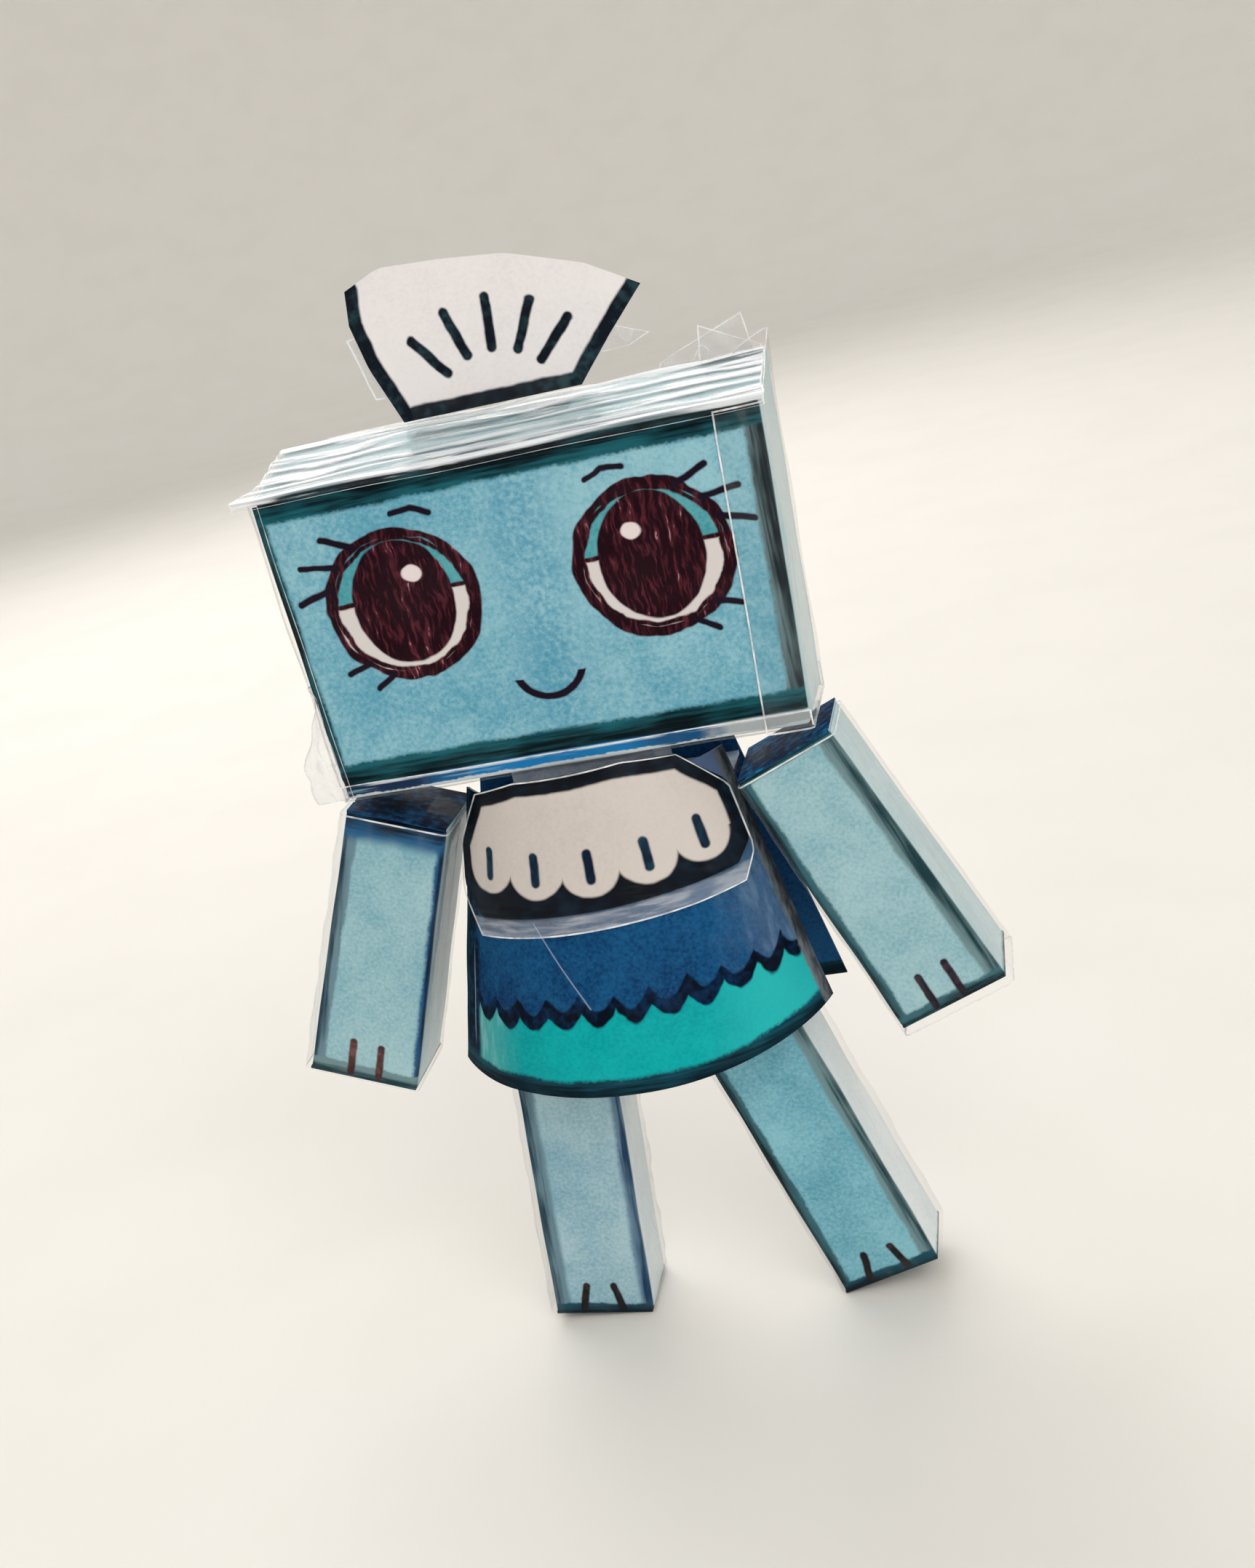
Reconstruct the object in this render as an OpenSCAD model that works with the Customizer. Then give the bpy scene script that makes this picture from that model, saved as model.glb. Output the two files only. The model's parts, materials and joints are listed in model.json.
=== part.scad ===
// Box paper doll: folded paper boxes held together by clear tape.
// The doll faces -Y and stands on Z = 0. Left and right are as seen from the front: left is -X.

/* [Paper and tape] */
// Thickness of the folded paper
paper_t = 0.5; // [0.3:0.1:0.7]
// Thickness of the clear tape
tape_t = 0.2; // [0.1:0.05:0.25]
// Gap between neighbouring pieces that aren't stuck together
loose_gap = 0.3; // [0.2:0.05:0.5]
// Length of each half of a tape hinge
hinge_leaf = 5; // [3:0.5:6]

/* [Head] */
// Width of the head box
head_w = 60; // [50:1:75]
// Height of the head box
head_h = 38; // [30:1:48]
// Depth of the head box
head_d = 16; // [13:0.5:20]
// How far the end tapes fold onto the front and back of the head
end_fold = 5; // [3:0.5:8]
// How far the top and bottom tapes fold onto the front and back of the head
edge_fold = 3; // [2:0.5:5]
// How much higher the head is at its back than at its front
head_rise = 3.5; // [0:0.5:5]

/* [Headpiece] */
// Width of the paper fan at its foot
fan_foot_w = 22; // [16:1:28]
// Width of the paper fan across its corners
fan_top_w = 37; // [30:1:44]
// Height of the paper fan
fan_h = 18.5; // [14:0.5:24]
// Rise of the fan's curved top above its corners
fan_rise = 4.5; // [2:0.5:6]
// Distance of the fan from the back of the head
fan_setback = 2.5; // [1.5:0.5:5]
// Sideways place of the fan on the head
fan_shift = -2.5; // [-6:0.5:6]
// Lean of the fan to the back
fan_lean = 5; // [0:1:15]
// Sideways tilt of the fan, clockwise as seen from the front
fan_tilt = 9; // [0:1:12]

/* [Torso] */
// Width of the torso box
torso_w = 26; // [22:1:30]
// Height of the torso box
torso_h = 25.3; // [22:0.1:30]
// Distance of the torso box's front from the middle of the head
torso_front = 4; // [3:0.5:5]
// How much narrower the neck is than the torso, on each side
neck_inset = 4; // [2:0.5:6]

/* [Dress] */
// Height of the hem's ends above the ground
hem_z = 44; // [42:0.5:46]
// How far the hem drops towards its middle
hem_drop = 4; // [2:0.5:6]
// Height of the dress above the shoulder line
neckline = 3.3; // [1:0.1:4.5]
// Distance of the dress's curve centre behind the middle of the head
dress_centre = 9.5; // [8:0.5:12]
// Half of the angle that the dress front wraps round the body
dress_wrap = 62; // [56:1:64]
// Room between the legs and the skirt
skirt_room = 3.3; // [1:0.1:4]
// Room between the torso box and the bodice
bodice_room = 0.7; // [0.4:0.1:1.5]
// How far the back of the skirt hangs below the front hem
back_drop = 4; // [0:0.5:6]

/* [Collar] */
// Height of the collar
collar_h = 18; // [14:0.5:20]
// How far the collar stands in from the edges of the dress
collar_margin = 0.6; // [0.3:0.1:2]
// Width of the clear tape that shows below the collar
collar_hem = 2.2; // [1:0.1:3]

/* [Arms] */
// Width of an arm at the shoulder
arm_top_w = 13; // [11:0.5:15]
// Width of an arm at the hand
arm_hand_w = 14.6; // [12:0.2:17]
// Depth of an arm
arm_d = 13; // [10:0.5:14]
// Length of an arm
arm_l = 38; // [30:1:46]
// Angle between an arm and the side of the dress
arm_stand = 8.5; // [7:0.5:12]
// How far an arm lifts from its rest until it meets the head
arm_lift = 5; // [3:0.5:8]

/* [Legs] */
// Width of a leg
leg_w = 13.5; // [11:0.5:15]
// Depth of a leg
leg_d = 11; // [9:0.5:12]
// Gap between the legs at the hips
leg_gap = 9; // [6:0.5:12]
// Height of the hip hinges above the ground
hip_z = 46; // [44:0.5:52]
// Sideways splay of the left leg
left_splay = 5; // [3:0.5:12]
// Sideways splay of the right leg
right_splay = 17; // [8:0.5:20]

/* [Hidden] */
$fn = 96;
// A cut that has to run past a face
past = 1;
// A folded tape makes a round bead, two tape layers in radius, along a hinge line
bead_r = 2 * tape_t;
// A tape wrap ends this far short of a limb's ends
wrap_short = 2 * tape_t;
// The tape hinges are this much narrower than the limb that they carry
hinge_inset = 1;

// Heights, from the hips up
hip_plate_z = hip_z + bead_r;
torso_z = hip_plate_z + paper_t;
shoulder_plate_z = torso_z + torso_h;
shoulder_top = shoulder_plate_z + paper_t;
shoulder_z = shoulder_top + tape_t - bead_r;
dress_top = shoulder_top + neckline;

// Legs hang from hinges at their outer top edges
hip_x = leg_w + leg_gap / 2;
hip_plate_w = 2 * (hip_x - bead_r);
leg_top = -(bead_r + tape_t);

// The dress front is a half cone round the body
hem_r = norm([hip_x, dress_centre + leg_d / 2]) + skirt_room + paper_t;
bodice_r = norm([torso_w / 2, dress_centre + torso_front]) + bodice_room + paper_t;
function dress_r(z) = hem_r + (bodice_r - hem_r) * (z - hem_z) / (shoulder_plate_z - hem_z);
function dress_edge(z) = dress_r(z) * sin(dress_wrap);
side_flare = atan((dress_edge(hem_z) - dress_edge(shoulder_z)) / (shoulder_z - hem_z));

// Arms hang from hinges at their inner top edges, and the head clears them at their highest
shoulder_x = dress_edge(shoulder_z) + loose_gap;
shoulder_plate_w = 2 * (shoulder_x - bead_r - tape_t);
arm_in = bead_r + 2 * tape_t;
arm_top = bead_r - tape_t;
arm_spread = side_flare + arm_stand;
arm_peak = (arm_in + arm_top_w + tape_t) * sin(arm_spread + arm_lift) + arm_top + loose_gap;
head_tape_z = shoulder_z + arm_peak;
head_z = head_tape_z + tape_t;
head_top = head_z + head_h;
function head_roof(y) = head_top + head_rise * (y + head_d / 2) / head_d;
roof_slope = atan(head_rise / head_d);

// Backs of the pieces: the torso's back lies on the dress back, which lines up with the head's tape
back_y = head_d / 2 + tape_t;
torso_back = back_y - paper_t;
arm_y = torso_back - arm_d / 2 - tape_t - loose_gap;
fan_y = torso_back - fan_setback;
fan_z = head_roof(fan_y) + (tape_t + bead_r) / cos(roof_slope);
neck_tip_y = back_y + tape_t - bead_r;
neck_tip_z = head_tape_z - bead_r;
back_reach = back_y + tape_t;
front_reach = dress_r(hem_z - hem_drop) - dress_centre;
mid_y = (front_reach - back_reach) / 2;

// Collar: an oval with flattened sides, as wide as the dress allows
collar_top = head_tape_z - loose_gap;
collar_mid = collar_top - collar_h / 2;
collar_half = dress_edge(collar_mid) - collar_margin;
collar_squareness = 0.72;
collar_steps = 48;

sky = "lightblue";
navy = "midnightblue";
film = [0.9, 0.95, 1, 0.3];

// The origin lies under the middle of the doll, front to back
module placed() translate([0, mid_y, 0]) children();

// A block between two corners
module block(low, high) translate(low) cube(high - low);

// An outline in X and Z, given depth along Y round the middle
module slab(points, depth) rotate([90, 0, 0]) linear_extrude(depth, center = true) polygon(points);

// An outline in Y and Z, given width along X round the middle
module channel(points, width) rotate([90, 0, 90]) linear_extrude(width, center = true) polygon(points);

// A round bead along Y
module bead(length) rotate([90, 0, 0]) cylinder(r = bead_r, h = length, center = true);

// Side outline of the head between a front and a back
function head_side(front, back) = [
    [front, head_z], [back, head_z], [back, head_roof(back)], [front, head_roof(front)]
];

// Outline of a strip folded over an edge of the head, from the covered face's heights at the front and
// back; up is 1 for the top edge and -1 for the bottom edge
function folded_strip(front, back, up) = let (in = head_d / 2, out = in + tape_t) [
    [-out, front - up * edge_fold], [-out, front + up * tape_t],
    [out, back + up * tape_t], [out, back - up * edge_fold],
    [in, back - up * edge_fold], [in, back], [-in, front], [-in, front - up * edge_fold]
];

// A tape folded round the right-hand end of the head
module end_tape() {
    in = head_d / 2;
    out = in + tape_t;
    low = head_z + edge_fold;
    translate([head_w / 2 + tape_t / 2, 0, 0])
        channel([[-out, head_z], [out, head_z], [out, head_roof(in)], [-out, head_roof(-in)]], tape_t);
    block([head_w / 2 - end_fold, -out, low], [head_w / 2 + tape_t, -in, head_roof(-in) - edge_fold]);
    block([head_w / 2 - end_fold, in, low], [head_w / 2 + tape_t, out, head_roof(in) - edge_fold]);
}

// Width of an arm at a height below its hinge
function arm_w(z) = arm_top_w + (arm_hand_w - arm_top_w) * (arm_top - z) / arm_l;
// Outline of an arm between two heights, drawn in on all sides by inset
function arm_outline(high, low, inset) = [
    [arm_in + inset, high], [arm_in + arm_w(high) - inset, high],
    [arm_in + arm_w(low) - inset, low], [arm_in + inset, low]
];
// Outline of a leg between two heights: a leg lies inward of its hinge
function leg_outline(high, low, inset) = [
    [-leg_w + inset, high], [-inset, high], [-inset, low], [-leg_w + inset, low]
];
// Length of a leg that reaches the ground at a splay
function leg_low(splay) = -(hip_z - leg_w * sin(splay)) / cos(splay);

// The place of a limb on the right-hand side, swung outward from straight down
module hung_arm() translate([shoulder_x, arm_y, shoulder_z]) rotate([0, -arm_spread, 0]) children();
module hung_leg(splay) translate([hip_x, 0, hip_z]) rotate([0, -splay, 0]) children();
module left_side() mirror([1, 0, 0]) children();

// Four walls of paper round an outline
module sleeve(outer, inner, depth) {
    difference() {
        slab(outer, depth);
        slab(inner, depth - 2 * paper_t);
    }
}

module arm_sleeve() {
    high = arm_top - paper_t;
    low = arm_top - arm_l + paper_t;
    sleeve(arm_outline(high, low, 0), arm_outline(high + past, low - past, paper_t), arm_d);
}
module arm_cap(high) slab(arm_outline(high, high - paper_t, 0), arm_d);
module arm_wrap() {
    high = arm_top - wrap_short;
    low = arm_top - arm_l + wrap_short;
    difference() {
        slab(arm_outline(high, low, -tape_t), arm_d + 2 * tape_t);
        slab(arm_outline(high + past, low - past, 0), arm_d);
    }
}
module leg_sleeve(splay) {
    high = leg_top - paper_t;
    low = leg_low(splay) + paper_t;
    sleeve(leg_outline(high, low, 0), leg_outline(high + past, low - past, paper_t), leg_d);
}
module leg_cap(high) slab(leg_outline(high, high - paper_t, 0), leg_d);
module leg_wrap(splay) {
    high = leg_top - wrap_short;
    low = leg_low(splay) + wrap_short;
    difference() {
        slab(leg_outline(high, low, -tape_t), leg_d + 2 * tape_t);
        slab(leg_outline(high + past, low - past, 0), leg_d);
    }
}

// Tape hinge on top of the shoulder: one leaf on the plate, one on the arm's cap
module shoulder_tape() {
    low = dress_centre - dress_r(shoulder_z) * cos(dress_wrap) + loose_gap;
    high = arm_y + arm_d / 2 - hinge_inset;
    width = high - low;
    translate([shoulder_x, (low + high) / 2, shoulder_z]) {
        bead(width);
        block([-hinge_leaf, -width / 2, bead_r - tape_t], [0, width / 2, bead_r]);
        rotate([0, -arm_spread, 0])
            block([0, -width / 2, bead_r - tape_t], [hinge_leaf, width / 2, bead_r]);
    }
}

// Tape hinge at the hip: one leaf under the hip plate, one on the leg's outer face
module hip_tape(splay) {
    width = leg_d - hinge_inset;
    translate([hip_x, 0, hip_z]) {
        bead(width);
        block([-hinge_leaf, -width / 2, bead_r - tape_t], [0, width / 2, bead_r]);
        rotate([0, -splay, 0])
            block([bead_r - tape_t, -width / 2, -hinge_leaf], [bead_r, width / 2, 0]);
    }
}

// A shell that follows the dress front, lifted off it: z range, lift and thickness
module dress_shell(low, high, lift, thick) {
    translate([0, dress_centre, 0])
        rotate([0, 0, -90 - dress_wrap])
            rotate_extrude(angle = 2 * dress_wrap)
                polygon([
                    [dress_r(low) + lift - thick, low], [dress_r(low) + lift, low],
                    [dress_r(high) + lift, high], [dress_r(high) + lift - thick, high]
                ]);
}

// The collar's rounded outline, let down at its lower edge and cut through the front half
function rounded(c) = sign(c) * pow(abs(c), collar_squareness);
module collar_cut(drop) {
    translate([0, -front_reach / 2, collar_mid - drop / 2])
        slab([for (i = [0:collar_steps - 1]) let (a = 360 * i / collar_steps)
            [collar_half * rounded(cos(a)), (collar_h + drop) / 2 * rounded(sin(a))]],
            3 * front_reach);
}

// Head
module head_tray() color(sky) placed() {
    front = -head_d / 2;
    back = head_d / 2 - paper_t;
    inner = front + paper_t;
    difference() {
        channel(head_side(front, back), head_w);
        channel([[inner, head_z + paper_t], [back + past, head_z + paper_t],
                 [back + past, head_roof(back + past) - paper_t], [inner, head_roof(inner) - paper_t]],
                head_w - 2 * paper_t);
    }
}
module head_back() color(sky) placed() channel(head_side(head_d / 2 - paper_t, head_d / 2), head_w);
module head_top_tape() color(film) placed()
    channel(folded_strip(head_roof(-head_d / 2), head_roof(head_d / 2), 1), head_w);
module head_bottom_tape() color(film) placed() channel(folded_strip(head_z, head_z, -1), head_w);
module head_left_tape() color(film) placed() left_side() end_tape();
module head_right_tape() color(film) placed() end_tape();

// Headpiece: a tilted fan with a curved top, cut straight at its foot, on a tape hinge
module fan_outline() {
    crown_r = (pow(fan_top_w / 2, 2) + pow(fan_rise, 2)) / (2 * fan_rise);
    flare = (fan_top_w - fan_foot_w) / 2 / (fan_h - fan_rise);
    tuck = fan_foot_w / 4;
    intersection() {
        rotate(-fan_tilt) intersection() {
            polygon([[-fan_foot_w / 2 + flare * tuck, -tuck], [fan_foot_w / 2 - flare * tuck, -tuck],
                     [fan_foot_w / 2 + flare * fan_h, fan_h], [-fan_foot_w / 2 - flare * fan_h, fan_h]]);
            translate([0, fan_h - crown_r]) circle(r = crown_r);
        }
        translate([-fan_top_w, 0]) square([2 * fan_top_w, 2 * fan_h]);
    }
}
module paper_fan() color("white") placed()
    translate([fan_shift, fan_y, fan_z]) rotate([-fan_lean, 0, 0])
        translate([0, paper_t / 2 - tape_t, bead_r + tape_t]) rotate([90, 0, 0])
            linear_extrude(paper_t, center = true) fan_outline();
module fan_tape() color(film) placed()
    translate([fan_shift, fan_y, fan_z]) {
        width = fan_foot_w - 2 * hinge_inset;
        rotate([0, 90, 0]) cylinder(r = bead_r, h = width, center = true);
        rotate([roof_slope, 0, 0])
            block([-width / 2, -hinge_leaf, -bead_r], [width / 2, 0, tape_t - bead_r]);
        rotate([-fan_lean, 0, 0])
            block([-width / 2, -bead_r, 0], [width / 2, tape_t - bead_r, hinge_leaf]);
    }

// Neck and torso
module neck_box() color("steelblue") placed() {
    half = torso_w / 2 - neck_inset;
    front = -torso_front;
    back = torso_back - 2 * paper_t;
    high = head_tape_z - loose_gap;
    difference() {
        block([-half, front, shoulder_top], [half, back, high]);
        block([-half + paper_t, front + paper_t, shoulder_top - past],
              [half - paper_t, back - paper_t, high + past]);
    }
}
module neck_tape() color(film) placed()
    translate([0, neck_tip_y, neck_tip_z]) {
        width = torso_w - 2 * neck_inset;
        rotate([0, 90, 0]) cylinder(r = bead_r, h = width, center = true);
        block([-width / 2, bead_r - tape_t, -hinge_leaf], [width / 2, bead_r, hinge_leaf]);
    }
module torso_box() color("steelblue") placed()
    difference() {
        block([-torso_w / 2, -torso_front, torso_z], [torso_w / 2, torso_back, shoulder_plate_z]);
        block([-torso_w / 2 + paper_t, -torso_front + paper_t, torso_z - past],
              [torso_w / 2 - paper_t, torso_back - paper_t, shoulder_plate_z + past]);
    }
module shoulder_plate() color("steelblue") placed() {
    edge_y = dress_centre - dress_r(shoulder_z) * cos(dress_wrap) + loose_gap;
    block([-shoulder_plate_w / 2, edge_y, shoulder_plate_z],
          [shoulder_plate_w / 2, torso_back, shoulder_top]);
    intersection() {
        block([-torso_w / 2, -front_reach, shoulder_plate_z], [torso_w / 2, torso_back, shoulder_top]);
        translate([0, dress_centre, 0])
            cylinder(r = dress_r(shoulder_top) - paper_t - loose_gap, h = shoulder_top);
    }
}
module hip_plate() color("steelblue") placed()
    block([-hip_plate_w / 2, -leg_d / 2, hip_plate_z], [hip_plate_w / 2, torso_back, torso_z]);

// Dress
module dress_front() color(navy) placed() {
    arc_r = (pow(dress_edge(hem_z), 2) + pow(hem_drop, 2)) / (2 * hem_drop);
    intersection() {
        dress_shell(hem_z - hem_drop, dress_top, 0, paper_t);
        translate([0, 0, hem_z - hem_drop + arc_r])
            rotate([90, 0, 0]) cylinder(r = arc_r, h = 4 * front_reach, center = true);
    }
}
module dress_back() color(navy) placed()
    translate([0, torso_back + paper_t / 2, 0])
        slab([[-dress_edge(dress_top), dress_top], [dress_edge(dress_top), dress_top],
              [dress_edge(hem_z - back_drop), hem_z - back_drop],
              [-dress_edge(hem_z - back_drop), hem_z - back_drop]], paper_t);
module collar() color("white") placed()
    intersection() {
        dress_shell(collar_top - collar_h, collar_top, loose_gap + paper_t, paper_t);
        collar_cut(0);
    }
module collar_tape() color(film) placed()
    intersection() {
        dress_shell(collar_top - collar_h - collar_hem, collar_top,
                    loose_gap + paper_t + 2 * tape_t, tape_t);
        collar_cut(collar_hem);
    }

// Arms
module right_arm_sleeve() color(sky) placed() hung_arm() arm_sleeve();
module right_shoulder_cap() color(sky) placed() hung_arm() arm_cap(arm_top);
module right_hand_cap() color(sky) placed() hung_arm() arm_cap(arm_top - arm_l + paper_t);
module right_arm_wrap() color(film) placed() hung_arm() arm_wrap();
module right_shoulder_tape() color(film) placed() shoulder_tape();
module left_arm_sleeve() left_side() right_arm_sleeve();
module left_shoulder_cap() left_side() right_shoulder_cap();
module left_hand_cap() left_side() right_hand_cap();
module left_arm_wrap() left_side() right_arm_wrap();
module left_shoulder_tape() left_side() right_shoulder_tape();

// Legs
module right_leg_sleeve() color(sky) placed() hung_leg(right_splay) leg_sleeve(right_splay);
module right_hip_cap() color(sky) placed() hung_leg(right_splay) leg_cap(leg_top);
module right_foot_sole() color(sky) placed() hung_leg(right_splay)
    leg_cap(leg_low(right_splay) + paper_t);
module right_leg_wrap() color(film) placed() hung_leg(right_splay) leg_wrap(right_splay);
module right_hip_tape() color(film) placed() hip_tape(right_splay);
module left_leg_sleeve() color(sky) placed() left_side() hung_leg(left_splay) leg_sleeve(left_splay);
module left_hip_cap() color(sky) placed() left_side() hung_leg(left_splay) leg_cap(leg_top);
module left_foot_sole() color(sky) placed() left_side() hung_leg(left_splay)
    leg_cap(leg_low(left_splay) + paper_t);
module left_leg_wrap() color(film) placed() left_side() hung_leg(left_splay) leg_wrap(left_splay);
module left_hip_tape() color(film) placed() left_side() hip_tape(left_splay);

head_tray();
head_back();
head_top_tape();
head_bottom_tape();
head_left_tape();
head_right_tape();
paper_fan();
fan_tape();
neck_box();
neck_tape();
torso_box();
shoulder_plate();
hip_plate();
dress_front();
dress_back();
collar();
collar_tape();
left_arm_sleeve();
left_shoulder_cap();
left_hand_cap();
left_arm_wrap();
left_shoulder_tape();
right_arm_sleeve();
right_shoulder_cap();
right_hand_cap();
right_arm_wrap();
right_shoulder_tape();
left_leg_sleeve();
left_hip_cap();
left_foot_sole();
left_leg_wrap();
left_hip_tape();
right_leg_sleeve();
right_hip_cap();
right_foot_sole();
right_leg_wrap();
right_hip_tape();
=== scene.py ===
# %% [markdown]
# A paper doll of folded boxes
# The doll is made of small boxes of coloured paper that clear tape holds shut and hinges together. The
# solids that arrive here have every size and every joint, and their faces are flat and bare. This
# lesson makes a sheet of paper or a strip of tape for each of them, and draws on the paper with nodes.

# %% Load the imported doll
import json
import math

import bpy
import numpy as np
from mathutils import Matrix, Vector, noise


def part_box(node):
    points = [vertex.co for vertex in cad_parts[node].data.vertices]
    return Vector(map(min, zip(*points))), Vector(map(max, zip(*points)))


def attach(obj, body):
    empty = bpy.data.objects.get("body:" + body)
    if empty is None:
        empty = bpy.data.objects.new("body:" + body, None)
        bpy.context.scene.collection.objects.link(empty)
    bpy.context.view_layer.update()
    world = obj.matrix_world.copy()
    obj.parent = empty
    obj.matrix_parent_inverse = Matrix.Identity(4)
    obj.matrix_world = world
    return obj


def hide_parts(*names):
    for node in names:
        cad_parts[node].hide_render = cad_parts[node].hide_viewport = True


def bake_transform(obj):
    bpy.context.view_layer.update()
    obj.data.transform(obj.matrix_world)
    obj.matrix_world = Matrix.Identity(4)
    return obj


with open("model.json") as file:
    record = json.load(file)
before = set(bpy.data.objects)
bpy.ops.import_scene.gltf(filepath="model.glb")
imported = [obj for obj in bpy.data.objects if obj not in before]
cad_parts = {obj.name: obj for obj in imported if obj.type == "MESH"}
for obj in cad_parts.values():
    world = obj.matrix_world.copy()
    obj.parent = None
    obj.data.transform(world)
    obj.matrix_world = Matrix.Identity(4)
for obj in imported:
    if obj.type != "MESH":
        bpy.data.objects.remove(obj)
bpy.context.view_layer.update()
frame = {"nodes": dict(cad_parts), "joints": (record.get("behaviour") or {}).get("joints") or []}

MM = 0.001
JOINTS = {joint["name"]: joint for joint in frame["joints"]}
SIDES = {"left": -1, "right": 1}


def corners(*nodes):
    """Lowest and highest corner of some solids together, in millimetres."""
    boxes = np.array([[list(corner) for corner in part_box(node)] for node in nodes]) / MM
    return boxes[:, 0].min(axis=0), boxes[:, 1].max(axis=0)


def half_length(node, axis):
    """Half the length of a solid along X, Y or Z, in millimetres."""
    low, high = corners(node)
    return (high[axis] - low[axis]) / 2


def solid_points(node):
    """All the corner points of a solid, in millimetres."""
    return np.array([vertex.co for vertex in frame["nodes"][node].data.vertices]) / MM


def largest_face(node):
    """The largest flat face of a solid."""
    return max(frame["nodes"][node].data.polygons, key=lambda polygon: polygon.area)


def pivot(joint):
    """A point on a joint's axis, in millimetres."""
    return np.array(JOINTS[joint]["pos_m"]) / MM


# %% [markdown]
# Shader maths in plain Python
# A drawing on paper is many small sums: a distance to a stroke, a mask, one minus that mask. Adding
# Math nodes by hand hides such sums, so one class wraps a socket and its operators add the nodes. Every
# other node comes from a single method, which sets the node up first and then fills its sockets.

# %% A socket that can be added, scaled and divided


class Pen:
    """An output socket of a material. Operators on it add Math nodes, and node() adds any other node."""

    def __init__(self, tree, socket=None):
        self.tree = tree
        self.socket = socket

    def node(self, kind, settings=None, inputs=None, out=0):
        made = self.tree.nodes.new(kind)
        for name, value in (settings or {}).items():
            setattr(made, name, value)
        for name, value in (inputs or {}).items():
            if isinstance(value, Pen):
                self.tree.links.new(value.socket, made.inputs[name])
            else:
                made.inputs[name].default_value = value
        return None if out is None else Pen(self.tree, made.outputs[out])

    def math(self, operation, *values):
        return self.node("ShaderNodeMath", {"operation": operation}, dict(enumerate(values)))

    def __add__(self, other):
        return self.math("ADD", self, other)

    def __sub__(self, other):
        return self.math("SUBTRACT", self, other)

    def __rsub__(self, other):
        return self.math("SUBTRACT", other, self)

    def __mul__(self, other):
        return self.math("MULTIPLY", self, other)

    def __truediv__(self, other):
        return self.math("DIVIDE", self, other)

    def __rtruediv__(self, other):
        return self.math("DIVIDE", other, self)

    def __abs__(self):
        return self.math("ABSOLUTE", self)

    __radd__ = __add__
    __rmul__ = __mul__


def paint(red, green, blue):
    """A colour as a paint box names it, from 0 to 255, in the linear light that shaders use."""
    share = np.array([red, green, blue]) / 255
    linear = np.where(share <= 0.04045, share / 12.92, ((share + 0.055) / 1.055) ** 2.4)
    return (*linear.tolist(), 1.0)


print("paper white is", [round(c, 3) for c in paint(230, 226, 228)])

# %% [markdown]
# Places, masks and colours
# Every mark on the doll starts from the place of a point on its sheet, which Blender gives as object
# coordinates. UV coordinates could do this too, but these folded sheets have none, and object
# coordinates are real lengths. All lengths here are millimetres on the real sheet, so a 3 mm band is
# written as 3.

# %% Helpers for places and masks


def start(name):
    """A new material, and the place of a point on its surface in the piece's own millimetres."""
    material = bpy.data.materials.new(name)
    material.use_nodes = True
    material.node_tree.nodes.clear()
    place = Pen(material.node_tree).node("ShaderNodeTexCoord", out="Object")
    return material, vector("SCALE", place, {"Scale": 1 / MM})


def vector(operation, first, others, out=0):
    """A Vector Math node on a vector and a dict of its other inputs."""
    return first.node("ShaderNodeVectorMath", {"operation": operation}, {0: first, **others}, out)


def split(at):
    """The X, Y and Z of a vector."""
    parts = at.node("ShaderNodeSeparateXYZ", {}, {0: at})
    return [Pen(at.tree, socket) for socket in parts.socket.node.outputs]


def joined(x, y, z):
    """A vector from three values, of which the first comes from a node."""
    return x.node("ShaderNodeCombineXYZ", {}, {0: x, 1: y, 2: z})


def smooth(value, low, high):
    """0 below low, 1 above high, and an easy slope between them."""
    return value.node("ShaderNodeMapRange", {"interpolation_type": "SMOOTHSTEP"},
                      {"Value": value, "From Min": low, "From Max": high})


def most(*values):
    """The largest of some values."""
    largest = values[0]
    for value in values[1:]:
        largest = largest.math("MAXIMUM", largest, value)
    return largest


def least(*values):
    """The smallest of some values."""
    smallest = values[0]
    for value in values[1:]:
        smallest = smallest.math("MINIMUM", smallest, value)
    return smallest


def mix(below, above, share):
    """One colour painted over another by a share from 0 to 1."""
    return share.node("ShaderNodeMix", {"data_type": "RGBA"}, {0: share, 6: below, 7: above}, out=2)


print("helpers for places and masks are ready")

# %% [markdown]
# Strokes of a shaky hand
# A pen stroke is the distance to a line, and an eye or a scallop is the distance to an oval. An image
# could hold them, but nodes keep them sharp at any size and let one mark serve every box. Noise moves
# the place a little before the distance is taken, so that no line is quite straight.

# %% Helpers for noise and strokes


def blotch(at, size, detail=2.0, out=0):
    """Noise round one half, with blotches of about that size."""
    return at.node("ShaderNodeTexNoise", {}, {"Vector": at, "Scale": 1 / size, "Detail": detail}, out)


def shaken(at, size, reach):
    """The same place, moved about as a hand shakes."""
    sway = vector("SUBTRACT", blotch(at, size, out=1), {1: (0.5, 0.5, 0.5)})
    return vector("MULTIPLY_ADD", sway, {1: (2 * reach,) * 3, 2: at})


def stroke(at, first, last):
    """Distance from a straight stroke between two (x, z) points, on a place with Y left out."""
    run = Vector((last[0] - first[0], 0, last[1] - first[1]))
    ahead = vector("SUBTRACT", at, {1: (first[0], 0, first[1])})
    share = vector("DOT_PRODUCT", ahead, {1: run / run.length_squared}, out="Value")
    share = share.node("ShaderNodeClamp", {}, {0: share})
    along = share.node("ShaderNodeVectorMath", {"operation": "SCALE"}, {0: run, "Scale": share})
    return vector("LENGTH", vector("SUBTRACT", ahead, {1: along}), {}, out="Value")


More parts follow.
